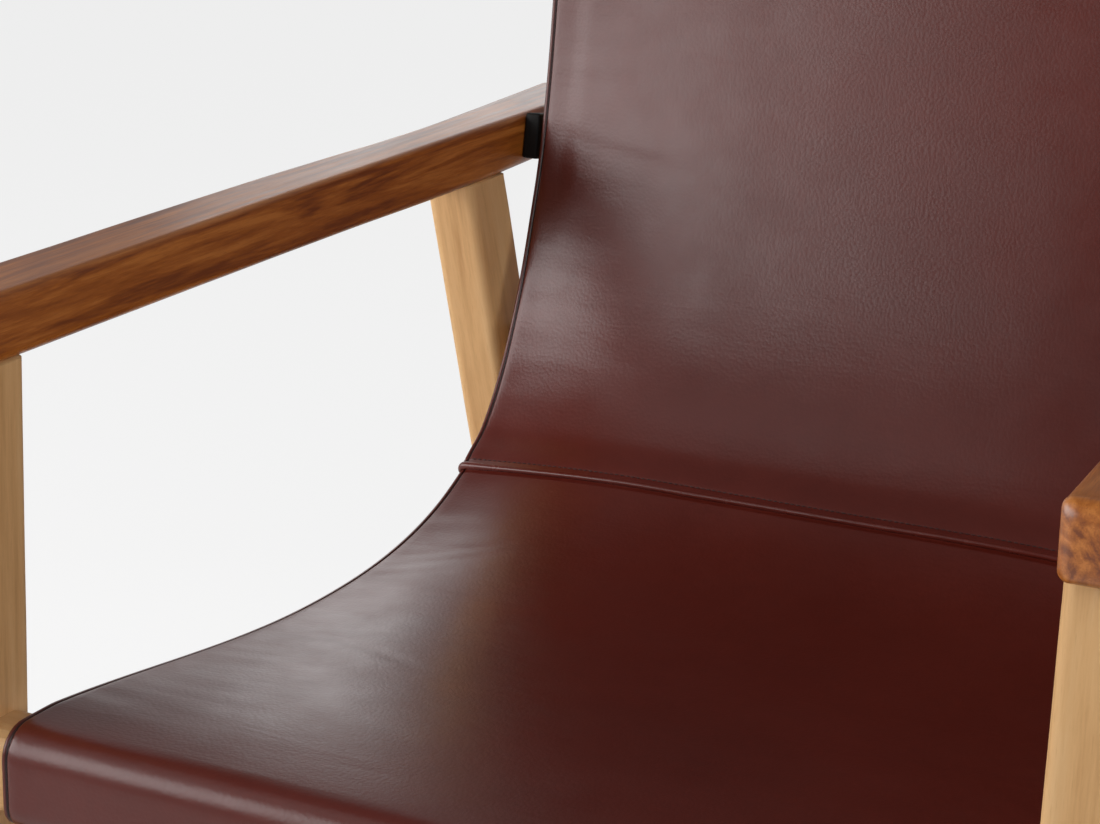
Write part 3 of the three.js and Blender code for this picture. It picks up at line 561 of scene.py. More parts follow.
def rounded_ring(width, depth, radius):
    """Points round a rectangle with rounded corners, with a point on the flats beside each corner."""
    points = []
    for corner, (sx, sy) in enumerate(((1, 1), (-1, 1), (-1, -1), (1, -1))):
        centre = Vector((sx * (width / 2 - radius), sy * (depth / 2 - radius)))
        start = corner * math.pi / 2
        points.append(centre + polar(start) * radius - polar(start + math.pi / 2) * CORNER_GUARD)
        for step in range(CORNER_STEPS + 1):
            points.append(centre + polar(start + step / CORNER_STEPS * math.pi / 2) * radius)
        points.append(centre + polar(start + math.pi / 2) * radius + polar(start + math.pi) * CORNER_GUARD)
    return points


def arm_section(y):
    """Width and depth of the arm at y, on a smooth curve through its sections."""
    last = len(ARM_SECTIONS) - 1
    low = next((i for i in range(last) if y <= ARM_SECTIONS[i + 1][0]), last - 1)
    a, b = ARM_SECTIONS[low], ARM_SECTIONS[low + 1]
    before, after = ARM_SECTIONS[max(low - 1, 0)], ARM_SECTIONS[min(low + 2, last)]
    run = b[0] - a[0]
    t = (y - a[0]) / run
    found = []
    for k in (1, 2):
        leaving = (b[k] - before[k]) / (b[0] - before[0]) * run
        arriving = (after[k] - a[k]) / (after[0] - a[0]) * run
        found.append(
            (2 * t**3 - 3 * t**2 + 1) * a[k] + (t**3 - 2 * t**2 + t) * leaving
            + (3 * t**2 - 2 * t**3) * b[k] + (t**3 - t**2) * arriving
        )
    return found


def arm_top(y):
    return ARM_TOP + (REAR_LEG_Y - y) * math.tan(ARM_TILT)


def arm_under(y):
    return arm_top(y) - arm_section(y)[1]


def worked(point):
    """Hand-worked wood is never quite flat."""
    waves = [place / size for place, size in zip(point, WORK_WAVES)]
    return noise.noise(Vector(waves)) * WORK_DEPTH


def arm_ring(side, y, push, inset):
    width, depth = arm_section(y)
    x = side * (INNER_FACE + width / 2)
    z = arm_top(y) - depth / 2
    ring = []
    for u, v in rounded_ring(width - 2 * inset, depth - 2 * inset, ARM_ROUND):
        point = Vector((x + u, y + push, z + v))
        ring.append(point + Vector((u, 0, v)).normalized() * worked(point))
    return ring


def arm_body(side):
    front, rear = ARM_SECTIONS[0][0], ARM_SECTIONS[-1][0]
    nose, heel = [], []
    for i in range(NOSE_STEPS + 1):
        turn = i / NOSE_STEPS * math.pi / 2
        inset, push = ARM_NOSE * (1 - math.sin(turn)), ARM_NOSE * (1 - math.cos(turn))
        nose.append(arm_ring(side, front, push, inset))
        heel.insert(0, arm_ring(side, rear, -push, inset))
    first, last = front + ARM_NOSE + NOSE_GAP, rear - ARM_NOSE - NOSE_GAP
    between = []
    for i in range(ARM_STEPS + 1):
        between.append(arm_ring(side, first + (last - first) * i / ARM_STEPS, 0, 0))
    return lofted(nose + between + heel)


def leg_body(side, top_y, rake):
    """A raked leg from its foot to the arm's underside, tapered over its lower part."""
    under = arm_under(top_y)

    def ring(z, width, depth, inset=0.0, below_arm=None):
        x = side * (INNER_FACE + width / 2)
        y = top_y + (under - z) * math.tan(rake)
        points = []
        for u, v in rounded_ring(width - 2 * inset, depth - 2 * inset, LEG_ROUND):
            point = Vector((x + u, y + v, z))
            if below_arm is not None:
                point.z = arm_under(point.y) - below_arm
            points.append(point + Vector((u, v, 0)).normalized() * worked(point))
        return points

    rings = []
    for i in range(FOOT_STEPS + 1):
        turn = i / FOOT_STEPS * math.pi / 2
        inset, rise = FOOT_EASE * (1 - math.sin(turn)), FOOT_EASE * (1 - math.cos(turn))
        rings.append(ring(FOOT_Z + rise, FOOT_WIDTH, FOOT_DEPTH, inset))
    for i in range(1, TAPER_STEPS + 1):
        share = i / TAPER_STEPS
        width = FOOT_WIDTH + (LEG_WIDTH - FOOT_WIDTH) * share
        depth = FOOT_DEPTH + (LEG_DEPTH - FOOT_DEPTH) * share
        rings.append(ring(FOOT_Z + FOOT_EASE + (TAPER_Z - FOOT_Z - FOOT_EASE) * share, width, depth))
    for i in range(1, SHANK_STEPS + 1):
        z = TAPER_Z + (under - SHANK_CLEAR - TAPER_Z) * i / SHANK_STEPS
        rings.append(ring(z, LEG_WIDTH, LEG_DEPTH))
    rings.append(ring(under, LEG_WIDTH, LEG_DEPTH, below_arm=SHOULDER))
    rings.append(ring(under, LEG_WIDTH, LEG_DEPTH, below_arm=FIT))
    return lofted(rings)


def side_rail_body(node):
    """Side rail between the legs, its upper edge in a long shallow hollow under the sling's edge."""
    low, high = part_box(node)
    middle = (low + high) / 2
    width, height = high.x - low.x, high.z - low.z
    rings = []
    for i in range(RAIL_STEPS + 1):
        share = i / RAIL_STEPS
        y = low.y + (high.y - low.y) * share
        drop = RAIL_HOLLOW * math.sin(math.pi * share) ** 2
        ring = []
        for u, v in rounded_ring(width, height, RAIL_ROUND):
            point = Vector((middle.x + u, y, middle.z + v - drop * smooth(0.5 + v / height)))
            ring.append(point + Vector((u, 0, v)).normalized() * worked(point))
        rings.append(ring)
    return lofted(rings)


def arm_shade_block_body(word):
    """Dark block between arm and stile, round the sleeves of both arm screws: painted shade for the shadow on
    the arm's end beside the leather.
    """
    low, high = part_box(f"arm_sleeve_{word}_1")
    upper_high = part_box(f"arm_sleeve_{word}_2")[1]
    middle = (low + upper_high) / 2
    place = Vector((middle.x, middle.y - SHADE_BLOCK_FORWARD, middle.z + SHADE_BLOCK_RISE))
    tilt = Matrix.Rotation(-FRAME_RECLINE, 3, "X")
    bm = bmesh.new()
    bmesh.ops.create_cube(bm, size=1)
    bmesh.ops.scale(bm, vec=(high.x - low.x, SHADE_BLOCK_DEPTH, SHADE_BLOCK_HEIGHT), verts=bm.verts[:])
    bmesh.ops.bevel(
        bm, geom=bm.edges[:], offset=SHADE_BLOCK_ROUND, offset_type="OFFSET", segments=3,
        profile=0.5, affect="EDGES", clamp_overlap=True, material=-1,
    )
    bmesh.ops.rotate(bm, cent=(0, 0, 0), matrix=tilt, verts=bm.verts[:])
    bmesh.ops.translate(bm, vec=place, verts=bm.verts[:])
    return bm


def plug_body(node):
    """Wooden plug over a bolt head, a little proud of the leg and rounded at its rim."""
    low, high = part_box(node)
    middle = (low + high) / 2
    radius = (high.z - low.z) / 2
    side = 1 if middle.x > 0 else -1
    outer = side * (INNER_FACE + LEG_WIDTH)
    bm = bmesh.new()
    bmesh.ops.create_cone(
        bm, cap_ends=True, segments=PLUG_SIDES, radius1=radius, radius2=radius, depth=PLUG_LENGTH,
    )
    rim = [edge for edge in bm.edges if all(v.co.z > 0 for v in edge.verts)]
    bmesh.ops.bevel(
        bm, geom=rim, offset=PLUG_RIM, offset_type="OFFSET", segments=3,
        profile=0.5, affect="EDGES", clamp_overlap=True, material=-1,
    )
    for vertex in bm.verts:
        u, v, w = vertex.co
        vertex.co = Vector((outer + side * (w - PLUG_SINK), middle.y + u, middle.z + side * v))
    bmesh.ops.recalc_face_normals(bm, faces=bm.faces[:])
    return bm


def seam_roll():
    """Turned lower edge of the back panel: a thin roll across the seam that folds round both side edges."""
    half = SLING_WIDTH / 2
    upper = FIT / 2 + FACE + ROLL_RADIUS - ROLL_SINK
    lower = -FIT / 2 - LINING - ROLL_RADIUS + ROLL_SINK
    turn_radius = (upper - lower) / 2
    turn_x, turn_height = half - turn_radius + ROLL_TURN_PROUD, (upper + lower) / 2
    path = [(turn_x - ROLL_TAIL, lower)]
    for i in range(ROLL_TURN_STEPS + 1):
        angle = -math.pi / 2 + math.pi * i / ROLL_TURN_STEPS
        path.append((turn_x + turn_radius * math.cos(angle), turn_height + turn_radius * math.sin(angle)))
    path += [(turn_x - 2 * turn_x * i / ROLL_STEPS, upper) for i in range(1, ROLL_STEPS)]
    path += [(-x, height) for x, height in path[ROLL_TURN_STEPS + 1::-1]]
    rings = []
    for i, (x, height) in enumerate(path):
        before, after = path[max(i - 1, 0)], path[min(i + 1, len(path) - 1)]
        ahead = Vector((after[0] - before[0], after[1] - before[1])).normalized()
        out = Vector((ahead.y, -ahead.x))
        flare = ROLL_FLARE * bell(half - abs(x), ROLL_FLARE_RUN)
        swell = ROLL_SWELL * noise.noise(Vector((x / ROLL_SWELL_RUN, 0, 7)))
        drift = ROLL_DRIFT * noise.noise(Vector((x / ROLL_DRIFT_RUN, 3, 0)))
        radius = ROLL_RADIUS * (1 + flare + swell)
        distance = SEAM_AT - ROLL_UP - ROLL_RADIUS * flare + drift
        ring = []
        for step in range(ROLL_SIDES):
            around = polar(2 * math.pi * step / ROLL_SIDES) * radius
            ring.append(on_sling(x + out.x * around.x, distance + around.y, height + out.y * around.x))
        rings.append(ring)
    return lofted(rings)


# Materials: small builder for node trees
class Recipe:
    """Node tree of one finish, with short calls for the nodes it needs."""

    def __init__(self, name):
        self.material = bpy.data.materials.new(name)
        self.material.use_nodes = True
        self.tree = self.material.node_tree
        self.shader = self.tree.nodes["Principled BSDF"]

    def add(self, kind, **settings):
        node = self.tree.nodes.new(kind)
        for key, value in settings.items():
            if key in node.inputs:
                node.inputs[key].default_value = value
            else:
                setattr(node, key, value)
        return node

    def join(self, source, target):
        self.tree.links.new(source, target)

    def place(self, uv=None, scale=(1, 1, 1), turn=(0, 0, 0), shift=(0, 0, 0), kind="POINT"):
        """Coordinates for a pattern: the piece's own UV map where uv names it, or else Object ones."""
        if uv:
            source = self.add("ShaderNodeUVMap", uv_map=uv).outputs["UV"]
        else:
            source = self.add("ShaderNodeTexCoord").outputs["Object"]
        mapping = self.add("ShaderNodeMapping", vector_type=kind)
        mapping.inputs["Scale"].default_value = scale
        mapping.inputs["Rotation"].default_value = turn
        mapping.inputs["Location"].default_value = shift
        self.join(source, mapping.inputs["Vector"])
        return mapping.outputs["Vector"]

    def noise(self, place, scale, detail=4.0, rough=0.5, distortion=0.0):
        node = self.add(
            "ShaderNodeTexNoise", Scale=scale, Detail=detail, Roughness=rough, Distortion=distortion
        )
        self.join(place, node.inputs["Vector"])
        return node.outputs["Fac"]

    def ramp(self, value, stops):
        node = self.add("ShaderNodeValToRGB")
        ramp = node.color_ramp
        while len(ramp.elements) < len(stops):
            ramp.elements.new(0.5)
        for element, (position, colour) in zip(ramp.elements, stops):
            element.position = position
            element.color = (*colour, 1)
        self.join(value, node.inputs["Fac"])
        return node.outputs["Color"]

    def level(self, value, low, high, out_low, out_high):
        """Turns low to high into out_low to out_high, and holds both ends."""
        node = self.add("ShaderNodeMapRange", clamp=True)
        for key, number in zip(("From Min", "From Max", "To Min", "To Max"), (low, high, out_low, out_high)):
            node.inputs[key].default_value = number
        self.join(value, node.inputs["Value"])
        return node.outputs["Result"]

    def sums(self, kind, a, b):
        """One step of arithmetic on sockets or plain numbers."""
        node = self.add("ShaderNodeMath", operation=kind)
        for socket, value in zip(node.inputs, (a, b)):
            if isinstance(value, (int, float)):
                socket.default_value = value
            else:
                self.join(value, socket)
        return node.outputs["Value"]

    def blend(self, factor, a, b):
        node = self.add("ShaderNodeMix", data_type="RGBA")
        for socket, value in ((node.inputs[0], factor), (node.inputs[6], a), (node.inputs[7], b)):
            if isinstance(value, (int, float)):
                socket.default_value = value
            elif isinstance(value, tuple):
                socket.default_value = (*value, 1)
            else:
                self.join(value, socket)
        return node.outputs[2]

    def bump(self, height, strength, distance, under=None):
        node = self.add("ShaderNodeBump", Strength=strength, Distance=distance)
        self.join(height, node.inputs["Height"])
        if under:
            self.join(under, node.inputs["Normal"])
        return node.outputs["Normal"]

    def finish(self, colour, rough, normal, **constants):
        """Joins the shader; constants go on its own sockets, with _ for a blank in the socket's name."""
        self.join(colour, self.shader.inputs["Base Color"])
        if isinstance(rough, (int, float)):
            self.shader.inputs["Roughness"].default_value = rough
        else:
            self.join(rough, self.shader.inputs["Roughness"])
        self.join(normal, self.shader.inputs["Normal"])
        for key, value in constants.items():
            self.shader.inputs[key.replace("_", " ")].default_value = value
        return self.material


# Finishes: colours are linear, cells are per metre
LEATHER_DYES = ((0.090, 0.0105, 0.0056), (0.110, 0.0138, 0.0078))
LEATHER_MOTTLE = (0.072, 0.0084, 0.0046)
STITCH_GROOVE_SHADE = (0.016, 0.0040, 0.0032)
CUT_EDGE = (0.030, 0.0100, 0.0080)
ROLL_DYES = ((0.094, 0.0112, 0.0062), (0.118, 0.0155, 0.0090))
SUEDE_DYES = ((0.070, 0.024, 0.015), (0.115, 0.044, 0.029))
THREAD_DYES = ((0.010, 0.0030, 0.0026), (0.024, 0.0066, 0.0054))
NYLON_AND_SHADE_TONES = ((0.0050, 0.0042, 0.0040), (0.0090, 0.0076, 0.0072))
PEBBLE_CELLS = 430.0
PORE_CELLS = 1100.0
CREASE_CELLS = (9, 46, 1)
# Cells along the wood's grain over those across it, and each layer's share in its figure
GRAIN_DRAW = 0.06
RING_SHARE = 0.05
FIGURE_SHARE = 0.50
STREAK_SHARE = 0.30
FIBRE_SHARE = 0.15


def sling_leather():
    """Oxblood leather: fine grain, soft creases, uneven dye, painted shade in the stitch grooves and darker
    cut edges.
    """
    r = Recipe("sling_leather")
    spot = r.place()
    flat = r.place(uv="flat")
    tone = r.noise(spot, scale=9.0, detail=5.0, rough=0.6)
    colour = r.ramp(tone, [(0.3, LEATHER_DYES[0]), (0.72, LEATHER_DYES[1])])
    mottle = r.noise(spot, scale=120.0, detail=3.0, rough=0.6)
    colour = r.blend(r.level(mottle, 0.4, 0.8, 0.0, 0.3), colour, LEATHER_MOTTLE)
    across = r.add("ShaderNodeSeparateXYZ")
    r.join(flat, across.inputs["Vector"])
    inset = r.sums("SUBTRACT", SLING_WIDTH / 2, r.sums("ABSOLUTE", across.outputs["X"], 0.0))
    from_stitch = r.sums("ABSOLUTE", r.sums("SUBTRACT", inset, STITCH_INSET), 0.0)
    # Painted shade: the leather darkens along each stitch line, where the groove lies in shade
    colour = r.blend(r.level(from_stitch, 0.0006, 0.0015, 0.85, 0.0), colour, STITCH_GROOVE_SHADE)
    # Darker colour over the outermost half millimetre of the cut edges
    colour = r.blend(r.level(inset, 0.0001, 0.0006, 0.8, 0.0), colour, CUT_EDGE)
    pebble = r.add("ShaderNodeTexVoronoi", voronoi_dimensions="2D", feature="SMOOTH_F1")
    pebble.inputs["Scale"].default_value = PEBBLE_CELLS
    pebble.inputs["Smoothness"].default_value = 0.7
    r.join(flat, pebble.inputs["Vector"])
    grain = r.bump(pebble.outputs["Distance"], strength=0.07, distance=0.0008)
    pores = r.noise(spot, scale=PORE_CELLS, detail=3.0, rough=0.6)
    grain = r.bump(pores, strength=0.05, distance=0.0003, under=grain)
    creased = r.place(uv="flat", scale=CREASE_CELLS)
    crease = r.noise(creased, scale=1.0, detail=5.0, rough=0.55, distortion=0.6)
    grain = r.bump(crease, strength=0.08, distance=0.003, under=grain)
    gloss = r.noise(spot, scale=26.0, detail=4.0, rough=0.6)
    return r.finish(colour, r.level(gloss, 0.3, 0.7, 0.28, 0.35), grain, Specular_IOR_Level=0.5)


def roll_leather():
    """The same leather drawn tight over the seam's roll."""
    r = Recipe("roll_leather")
    spot = r.place()
    tone = r.noise(spot, scale=60.0, detail=4.0, rough=0.6)
    colour = r.ramp(tone, [(0.3, ROLL_DYES[0]), (0.72, ROLL_DYES[1])])
    grain = r.bump(r.noise(spot, scale=900.0, detail=3.0, rough=0.6), strength=0.06, distance=0.0003)
    return r.finish(colour, r.level(tone, 0.3, 0.7, 0.22, 0.29), grain)


def lining_leather():
    """Flesh side of the lining: matt, slightly fibrous brown."""
    r = Recipe("lining_leather")
    fibre = r.noise(r.place(), scale=420.0, detail=6.0, rough=0.7)
    colour = r.ramp(fibre, [(0.3, SUEDE_DYES[0]), (0.7, SUEDE_DYES[1])])
    return r.finish(colour, 0.82, r.bump(fibre, strength=0.3, distance=0.0004))


def sewing_thread():
    """Waxed dark thread with its twist."""
    r = Recipe("sewing_thread")
    twist = r.noise(r.place(), scale=2600.0, detail=2.0, rough=0.5)
    colour = r.ramp(twist, [(0.3, THREAD_DYES[0]), (0.7, THREAD_DYES[1])])
    return r.finish(colour, 0.55, r.bump(twist, strength=0.4, distance=0.0002))


def oiled_wood(
    name, dark, mid, light, along, tilt=0.0, seed=0.0, gloss=0.46, shine=0.3, wave=0.5, coat=0.0, spread=0.16
):
    """Oiled hardwood: growth rings round an axis beside the piece, long streaks, fine fibres and pores.

    along is the grain's axis, X, Y or Z, and tilt turns it about X."""
    r = Recipe(name)

    def stretched(cells):
        sizes = [1 / cells] * 3
        sizes["XYZ".index(along)] = 1 / (cells * GRAIN_DRAW)
        shift = (seed, seed * 0.7, seed * 0.4)
        return r.place(scale=tuple(sizes), turn=(tilt, 0, 0), shift=shift, kind="TEXTURE")

    rings = r.add(
        "ShaderNodeTexWave", wave_type="RINGS", rings_direction=along, Scale=1.0, Distortion=5.0, Detail=3.0
    )
    rings.inputs["Detail Scale"].default_value = 0.7
    r.join(stretched(36.0), rings.inputs["Vector"])
    figure = r.noise(stretched(48.0), scale=1.0, detail=3.0, rough=0.55, distortion=wave)
    streak = r.noise(stretched(230.0), scale=1.0, detail=5.0, rough=0.65, distortion=0.2)
    fibre = r.noise(stretched(900.0), scale=1.0, detail=3.0, rough=0.6)
    pores = r.noise(stretched(1500.0), scale=1.0, detail=2.0, rough=0.5)
    ring_part = r.sums("MULTIPLY", rings.outputs["Fac"], RING_SHARE)
    broad = r.sums("ADD", ring_part, r.sums("MULTIPLY", figure, FIGURE_SHARE))
    fine = r.sums("ADD", r.sums("MULTIPLY", streak, STREAK_SHARE), r.sums("MULTIPLY", fibre, FIBRE_SHARE))
    tone = r.sums("ADD", broad, fine)
    colour = r.ramp(tone, [(0.5 - spread, dark), (0.5, mid), (0.5 + spread, light)])
    colour = r.blend(r.level(pores, 0.60, 0.76, 0.0, 0.5), colour, dark)
    rough = r.level(streak, 0.3, 0.7, gloss - 0.05, gloss + 0.08)
    normal = r.bump(fibre, strength=0.05, distance=0.0006)
    normal = r.bump(pores, strength=0.10, distance=0.0005, under=normal)
    return r.finish(colour, rough, normal, Specular_IOR_Level=shine, Coat_Weight=coat, Coat_Roughness=gloss)


def plain_metal(name, low, high, rough):
    """Plain metal, slightly uneven in colour and gloss."""
    r = Recipe(name)
    wear = r.noise(r.place(), scale=300.0, detail=4.0, rough=0.6)
    colour = r.ramp(wear, [(0.3, low), (0.7, high)])
    level = r.level(wear, 0.3, 0.7, rough - 0.06, rough + 0.1)
    return r.finish(colour, level, r.bump(wear, strength=0.08, distance=0.0002), Metallic=1.0)


def glide_nylon_and_shade():
    """Matt dark nylon of the glides, and of the dark blocks by the arms' ends that stand in as painted shade.
    """
    r = Recipe("glide_nylon_and_shade")
    fine = r.noise(r.place(), scale=900.0, detail=3.0, rough=0.6)
    colour = r.ramp(fine, [(0.3, NYLON_AND_SHADE_TONES[0]), (0.7, NYLON_AND_SHADE_TONES[1])])
    return r.finish(colour, 0.6, r.bump(fine, strength=0.2, distance=0.0002), Specular_IOR_Level=0.2)


LEATHER = sling_leather()
ROLL_LEATHER = roll_leather()
SUEDE = lining_leather()
THREAD_FINISH = sewing_thread()
RED = ((0.195, 0.044, 0.005), (0.385, 0.108, 0.013), (0.560, 0.190, 0.034))
TAN = ((0.575, 0.308, 0.122), (0.735, 0.430, 0.192), (0.790, 0.505, 0.252))
ARM_WOOD = oiled_wood(
    "arm_wood", *RED, "Y", tilt=-ARM_TILT, seed=0.31, gloss=0.34, shine=0.5, wave=2.6, coat=0.5, spread=0.10
)
REAR_LEG_WOOD = oiled_wood("rear_leg_wood", *TAN, "Z", tilt=REAR_RAKE, seed=0.17)
FRONT_LEG_WOOD = oiled_wood("front_leg_wood", *TAN, "Z", tilt=FRONT_RAKE, seed=0.53)
STILE_WOOD = oiled_wood("stile_wood", *TAN, "Z", tilt=-FRAME_RECLINE, seed=0.77)
SIDE_WOOD = oiled_wood("side_wood", *TAN, "Y", seed=0.91)
CROSS_WOOD = oiled_wood("cross_wood", *TAN, "X", seed=0.64)
STEEL = plain_metal("zinc_steel", (0.42, 0.42, 0.41), (0.60, 0.60, 0.58), 0.34)
BRASS = plain_metal("turned_brass", (0.46, 0.32, 0.12), (0.62, 0.45, 0.19), 0.32)
NYLON_AND_SHADE = glide_nylon_and_shade()

FINISHES = [
    ("arm_screw", STEEL),
    ("arm_sleeve", NYLON_AND_SHADE),
    ("arm_", ARM_WOOD),
    ("front_leg", FRONT_LEG_WOOD),
    ("rear_leg", REAR_LEG_WOOD),
    ("stile_bolt", STEEL),
    ("stile_insert", BRASS),
    ("stile_plug", CROSS_WOOD),
    ("stile_spacer", CROSS_WOOD),
    ("stile_", STILE_WOOD),
    ("side_rail", SIDE_WOOD),
    ("rail_bolt", STEEL),
    ("rail_nut", STEEL),
    ("rail_dowel", CROSS_WOOD),
    ("rail_plug", CROSS_WOOD),
    ("top_screw", STEEL),
    ("front_screw", STEEL),
    ("glide", NYLON_AND_SHADE),
    ("back_panel", LEATHER),
    ("seat_panel", LEATHER),
    ("back_lining", SUEDE),
    ("seat_lining", SUEDE),
    ("", CROSS_WOOD),
]
for node_name, node in nodes.items():
    finish = next(material for start, material in FINISHES if node_name.startswith(start))
    node.data.materials.clear()
    node.data.materials.append(finish)

# Sling panels
face_top = FIT / 2 + FACE
lining_top = -FIT / 2
back_end = SEAM_AT - SEAM_LAP / 2 - FIT / 2
seat_start = SEAM_AT - SEAM_LAP / 2 + FIT / 2
back_rows = spread_rows(0.0, SEAM_AT - ROLL_UP, BACK_ROW, near_hem)
seat_rows = spread_rows(SEAM_AT - SEAM_LAP, COURSE_LENGTH, SEAT_ROW, near_roll)
back_under_rows = spread_rows(0.0, back_end, LINING_ROW, never)
seat_under_rows = spread_rows(seat_start, COURSE_LENGTH, LINING_ROW, never)
back = leather_panel("back_leather", back_rows, FACE, face_top, back_form, LEATHER)
seat = leather_panel("seat_leather", seat_rows, FACE, face_top, seat_form, LEATHER)
back_under = leather_panel("back_lining_leather", back_under_rows, LINING, lining_top, lining_form, SUEDE)
seat_under = leather_panel("seat_lining_leather", seat_under_rows, LINING, lining_top, lining_form, SUEDE)
roll = new_piece("seam_roll", seam_roll(), ROLL_LEATHER)


def stitch_row(bm, places):
    """One stitch for each (middle, along, out) in places: a low oval of thread."""
    for middle, along, out in places:
        side = along.cross(out).normalized()
        made = bmesh.ops.create_uvsphere(bm, u_segments=THREAD_SIDES, v_segments=THREAD_RINGS, radius=0.5)
        for vertex in made["verts"]:
            a, b, c = vertex.co.z * STITCH_LENGTH, vertex.co.x * THREAD, vertex.co.y * THREAD
            vertex.co = middle + along * a + side * b + out * c


def back_thread_height(x, distance):
    return face_top + back_form(x, distance, 1) + THREAD * THREAD_LIFT


def seat_thread_height(x, distance):
    return face_top + seat_form(x, distance, 1) + THREAD * THREAD_LIFT


def edge_stitches(start, end, height):
    """Stitches along both side edges of a panel, from start to end of the course."""
    places = []
    count = int((end - start) / STITCH_PITCH)
    for sign in (-1, 1):
        x = sign * (SLING_WIDTH / 2 - STITCH_INSET)
        for i in range(count):
            distance = start + (i + 0.5) * (end - start) / count
            middle = on_sling(x, distance, height(x, distance))
            ahead = on_sling(x, distance + PROBE, height(x, distance + PROBE)) - middle
            inner = on_sling(x - sign * PROBE, distance, height(x, distance)) - middle
            out = (inner.cross(ahead) if sign < 0 else ahead.cross(inner)).normalized()
            places.append((middle, ahead.normalized(), out))
    return places


def hem_stitches():
    """Stitches across the back panel, above its roll."""
    places = []
    width = SLING_WIDTH - 2 * HEM_STITCH_CLEAR
    count = int(width / STITCH_PITCH)
    distance = SEAM_AT - ROLL_UP - HEM
    for i in range(count):
        x = -width / 2 + (i + 0.5) * width / count
        height = back_thread_height(x, distance)
        middle = on_sling(x, distance, height)
        ahead = (on_sling(x + PROBE, distance, height) - middle).normalized()
        down = on_sling(x, distance + PROBE, height) - middle
        places.append((middle, ahead, down.cross(ahead).normalized()))
    return places


def stitch_piece(name, places):
    bm = bmesh.new()
    stitch_row(bm, places)
    bmesh.ops.recalc_face_normals(bm, faces=bm.faces[:])
    piece = new_piece(name, bm, THREAD_FINISH)
    return piece


back_edges = edge_stitches(STITCH_CLEAR, SEAM_AT - ROLL_UP - STITCH_CLEAR, back_thread_height)
seat_edges = edge_stitches(SEAM_AT + SEAT_STITCH_START, COURSE_LENGTH - STITCH_CLEAR, seat_thread_height)
back_thread = stitch_piece("back_stitches", back_edges + hem_stitches())
seat_thread = stitch_piece("seat_stitches", seat_edges)

for piece, node, slot in (
    (back, "back_panel", "leather"),
    (seat, "seat_panel", "leather"),
    (back_under, "back_lining", "lining"),
    (seat_under, "seat_lining", "lining"),
):
    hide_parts(node)

# Arms, legs, side rails, the plugs over the bolts, and the dark blocks by the arms' ends as painted shade
for word, side in (("left", -1), ("right", 1)):
    for node, bm, material, slot in (
        ("arm", arm_body(side), ARM_WOOD, "arm_wood"),
        ("front_leg", leg_body(side, FRONT_LEG_Y, FRONT_RAKE), FRONT_LEG_WOOD, "frame_wood"),
        ("rear_leg", leg_body(side, REAR_LEG_Y, REAR_RAKE), REAR_LEG_WOOD, "frame_wood"),
        ("side_rail", side_rail_body(f"side_rail_{word}"), SIDE_WOOD, "frame_wood"),
        ("rail_plug", plug_body(f"rail_plug_{word}"), CROSS_WOOD, "frame_wood"),
        ("stile_plug", plug_body(f"stile_plug_{word}"), CROSS_WOOD, "frame_wood"),
    ):
        piece = new_piece(f"worked_{node}_{word}", bm, material)
        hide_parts(f"{node}_{word}")

    # A near-black block between arm and stile is painted shade for the shadow on the arm's end
    spacer = new_piece(f"arm_spacer_{word}", arm_shade_block_body(word), NYLON_AND_SHADE)
    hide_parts(f"arm_sleeve_{word}_1", f"arm_sleeve_{word}_2")

# Studio: pale floor, white surroundings, soft lamps
WHITE = (1, 1, 1, 1)
FLOOR_SIZE = 30
FLOOR_COLOUR = (0.80, 0.80, 0.795, 1)
FLOOR_ROUGHNESS = 0.9
# Shares of plain white in the floor, as the camera and as gloss see it; the rest shows the chair's shadow
FLOOR_WHITE = 0.84
FLOOR_GLOSS_WHITE = 0.3
# The walls fade from white to the ceiling's level between these heights of the direction looked in
WALL_LOW = -0.02
WALL_HIGH = 0.05
CEILING_LEVEL = 0.19
WALL_LIGHT = 0.06


def white_for_camera(tree, plain, share, gloss_share):
    """Mixes plain white into what the camera, gloss and glass see."""
    path = tree.nodes.new("ShaderNodeLightPath")
    seen = None
    rays = (("Is Camera Ray", share), ("Is Glossy Ray", gloss_share), ("Is Transmission Ray", share))
    for ray, part in rays:
        scale = tree.nodes.new("ShaderNodeMath")
        scale.operation = "MULTIPLY"
        scale.inputs[1].default_value = part
        tree.links.new(path.outputs[ray], scale.inputs[0])
        if seen:
            most = tree.nodes.new("ShaderNodeMath")
            most.operation = "MAXIMUM"
            tree.links.new(seen, most.inputs[0])
            tree.links.new(scale.outputs[0], most.inputs[1])
            seen = most.outputs[0]
        else:
            seen = scale.outputs[0]
    mix = tree.nodes.new("ShaderNodeMixShader")
    tree.links.new(seen, mix.inputs["Fac"])
    tree.links.new(plain, mix.inputs[1])
    return mix


def studio_floor():
    bm = bmesh.new()
    bmesh.ops.create_grid(bm, x_segments=1, y_segments=1, size=FLOOR_SIZE)
    mesh = bpy.data.meshes.new("floor")
    bm.to_mesh(mesh)
    bm.free()
    floor = bpy.data.objects.new("floor", mesh)
    bpy.context.scene.collection.objects.link(floor)
    material = bpy.data.materials.new("pale_floor")
    material.use_nodes = True
    tree = material.node_tree
    shader = tree.nodes["Principled BSDF"]
    shader.inputs["Base Color"].default_value = FLOOR_COLOUR
    shader.inputs["Roughness"].default_value = FLOOR_ROUGHNESS
    glow = tree.nodes.new("ShaderNodeEmission")
    glow.inputs["Color"].default_value = WHITE
    mix = white_for_camera(tree, shader.outputs["BSDF"], FLOOR_WHITE, FLOOR_GLOSS_WHITE)
    tree.links.new(glow.outputs["Emission"], mix.inputs[2])
    tree.links.new(mix.outputs["Shader"], tree.nodes["Material Output"].inputs["Surface"])
    mesh.materials.append(material)


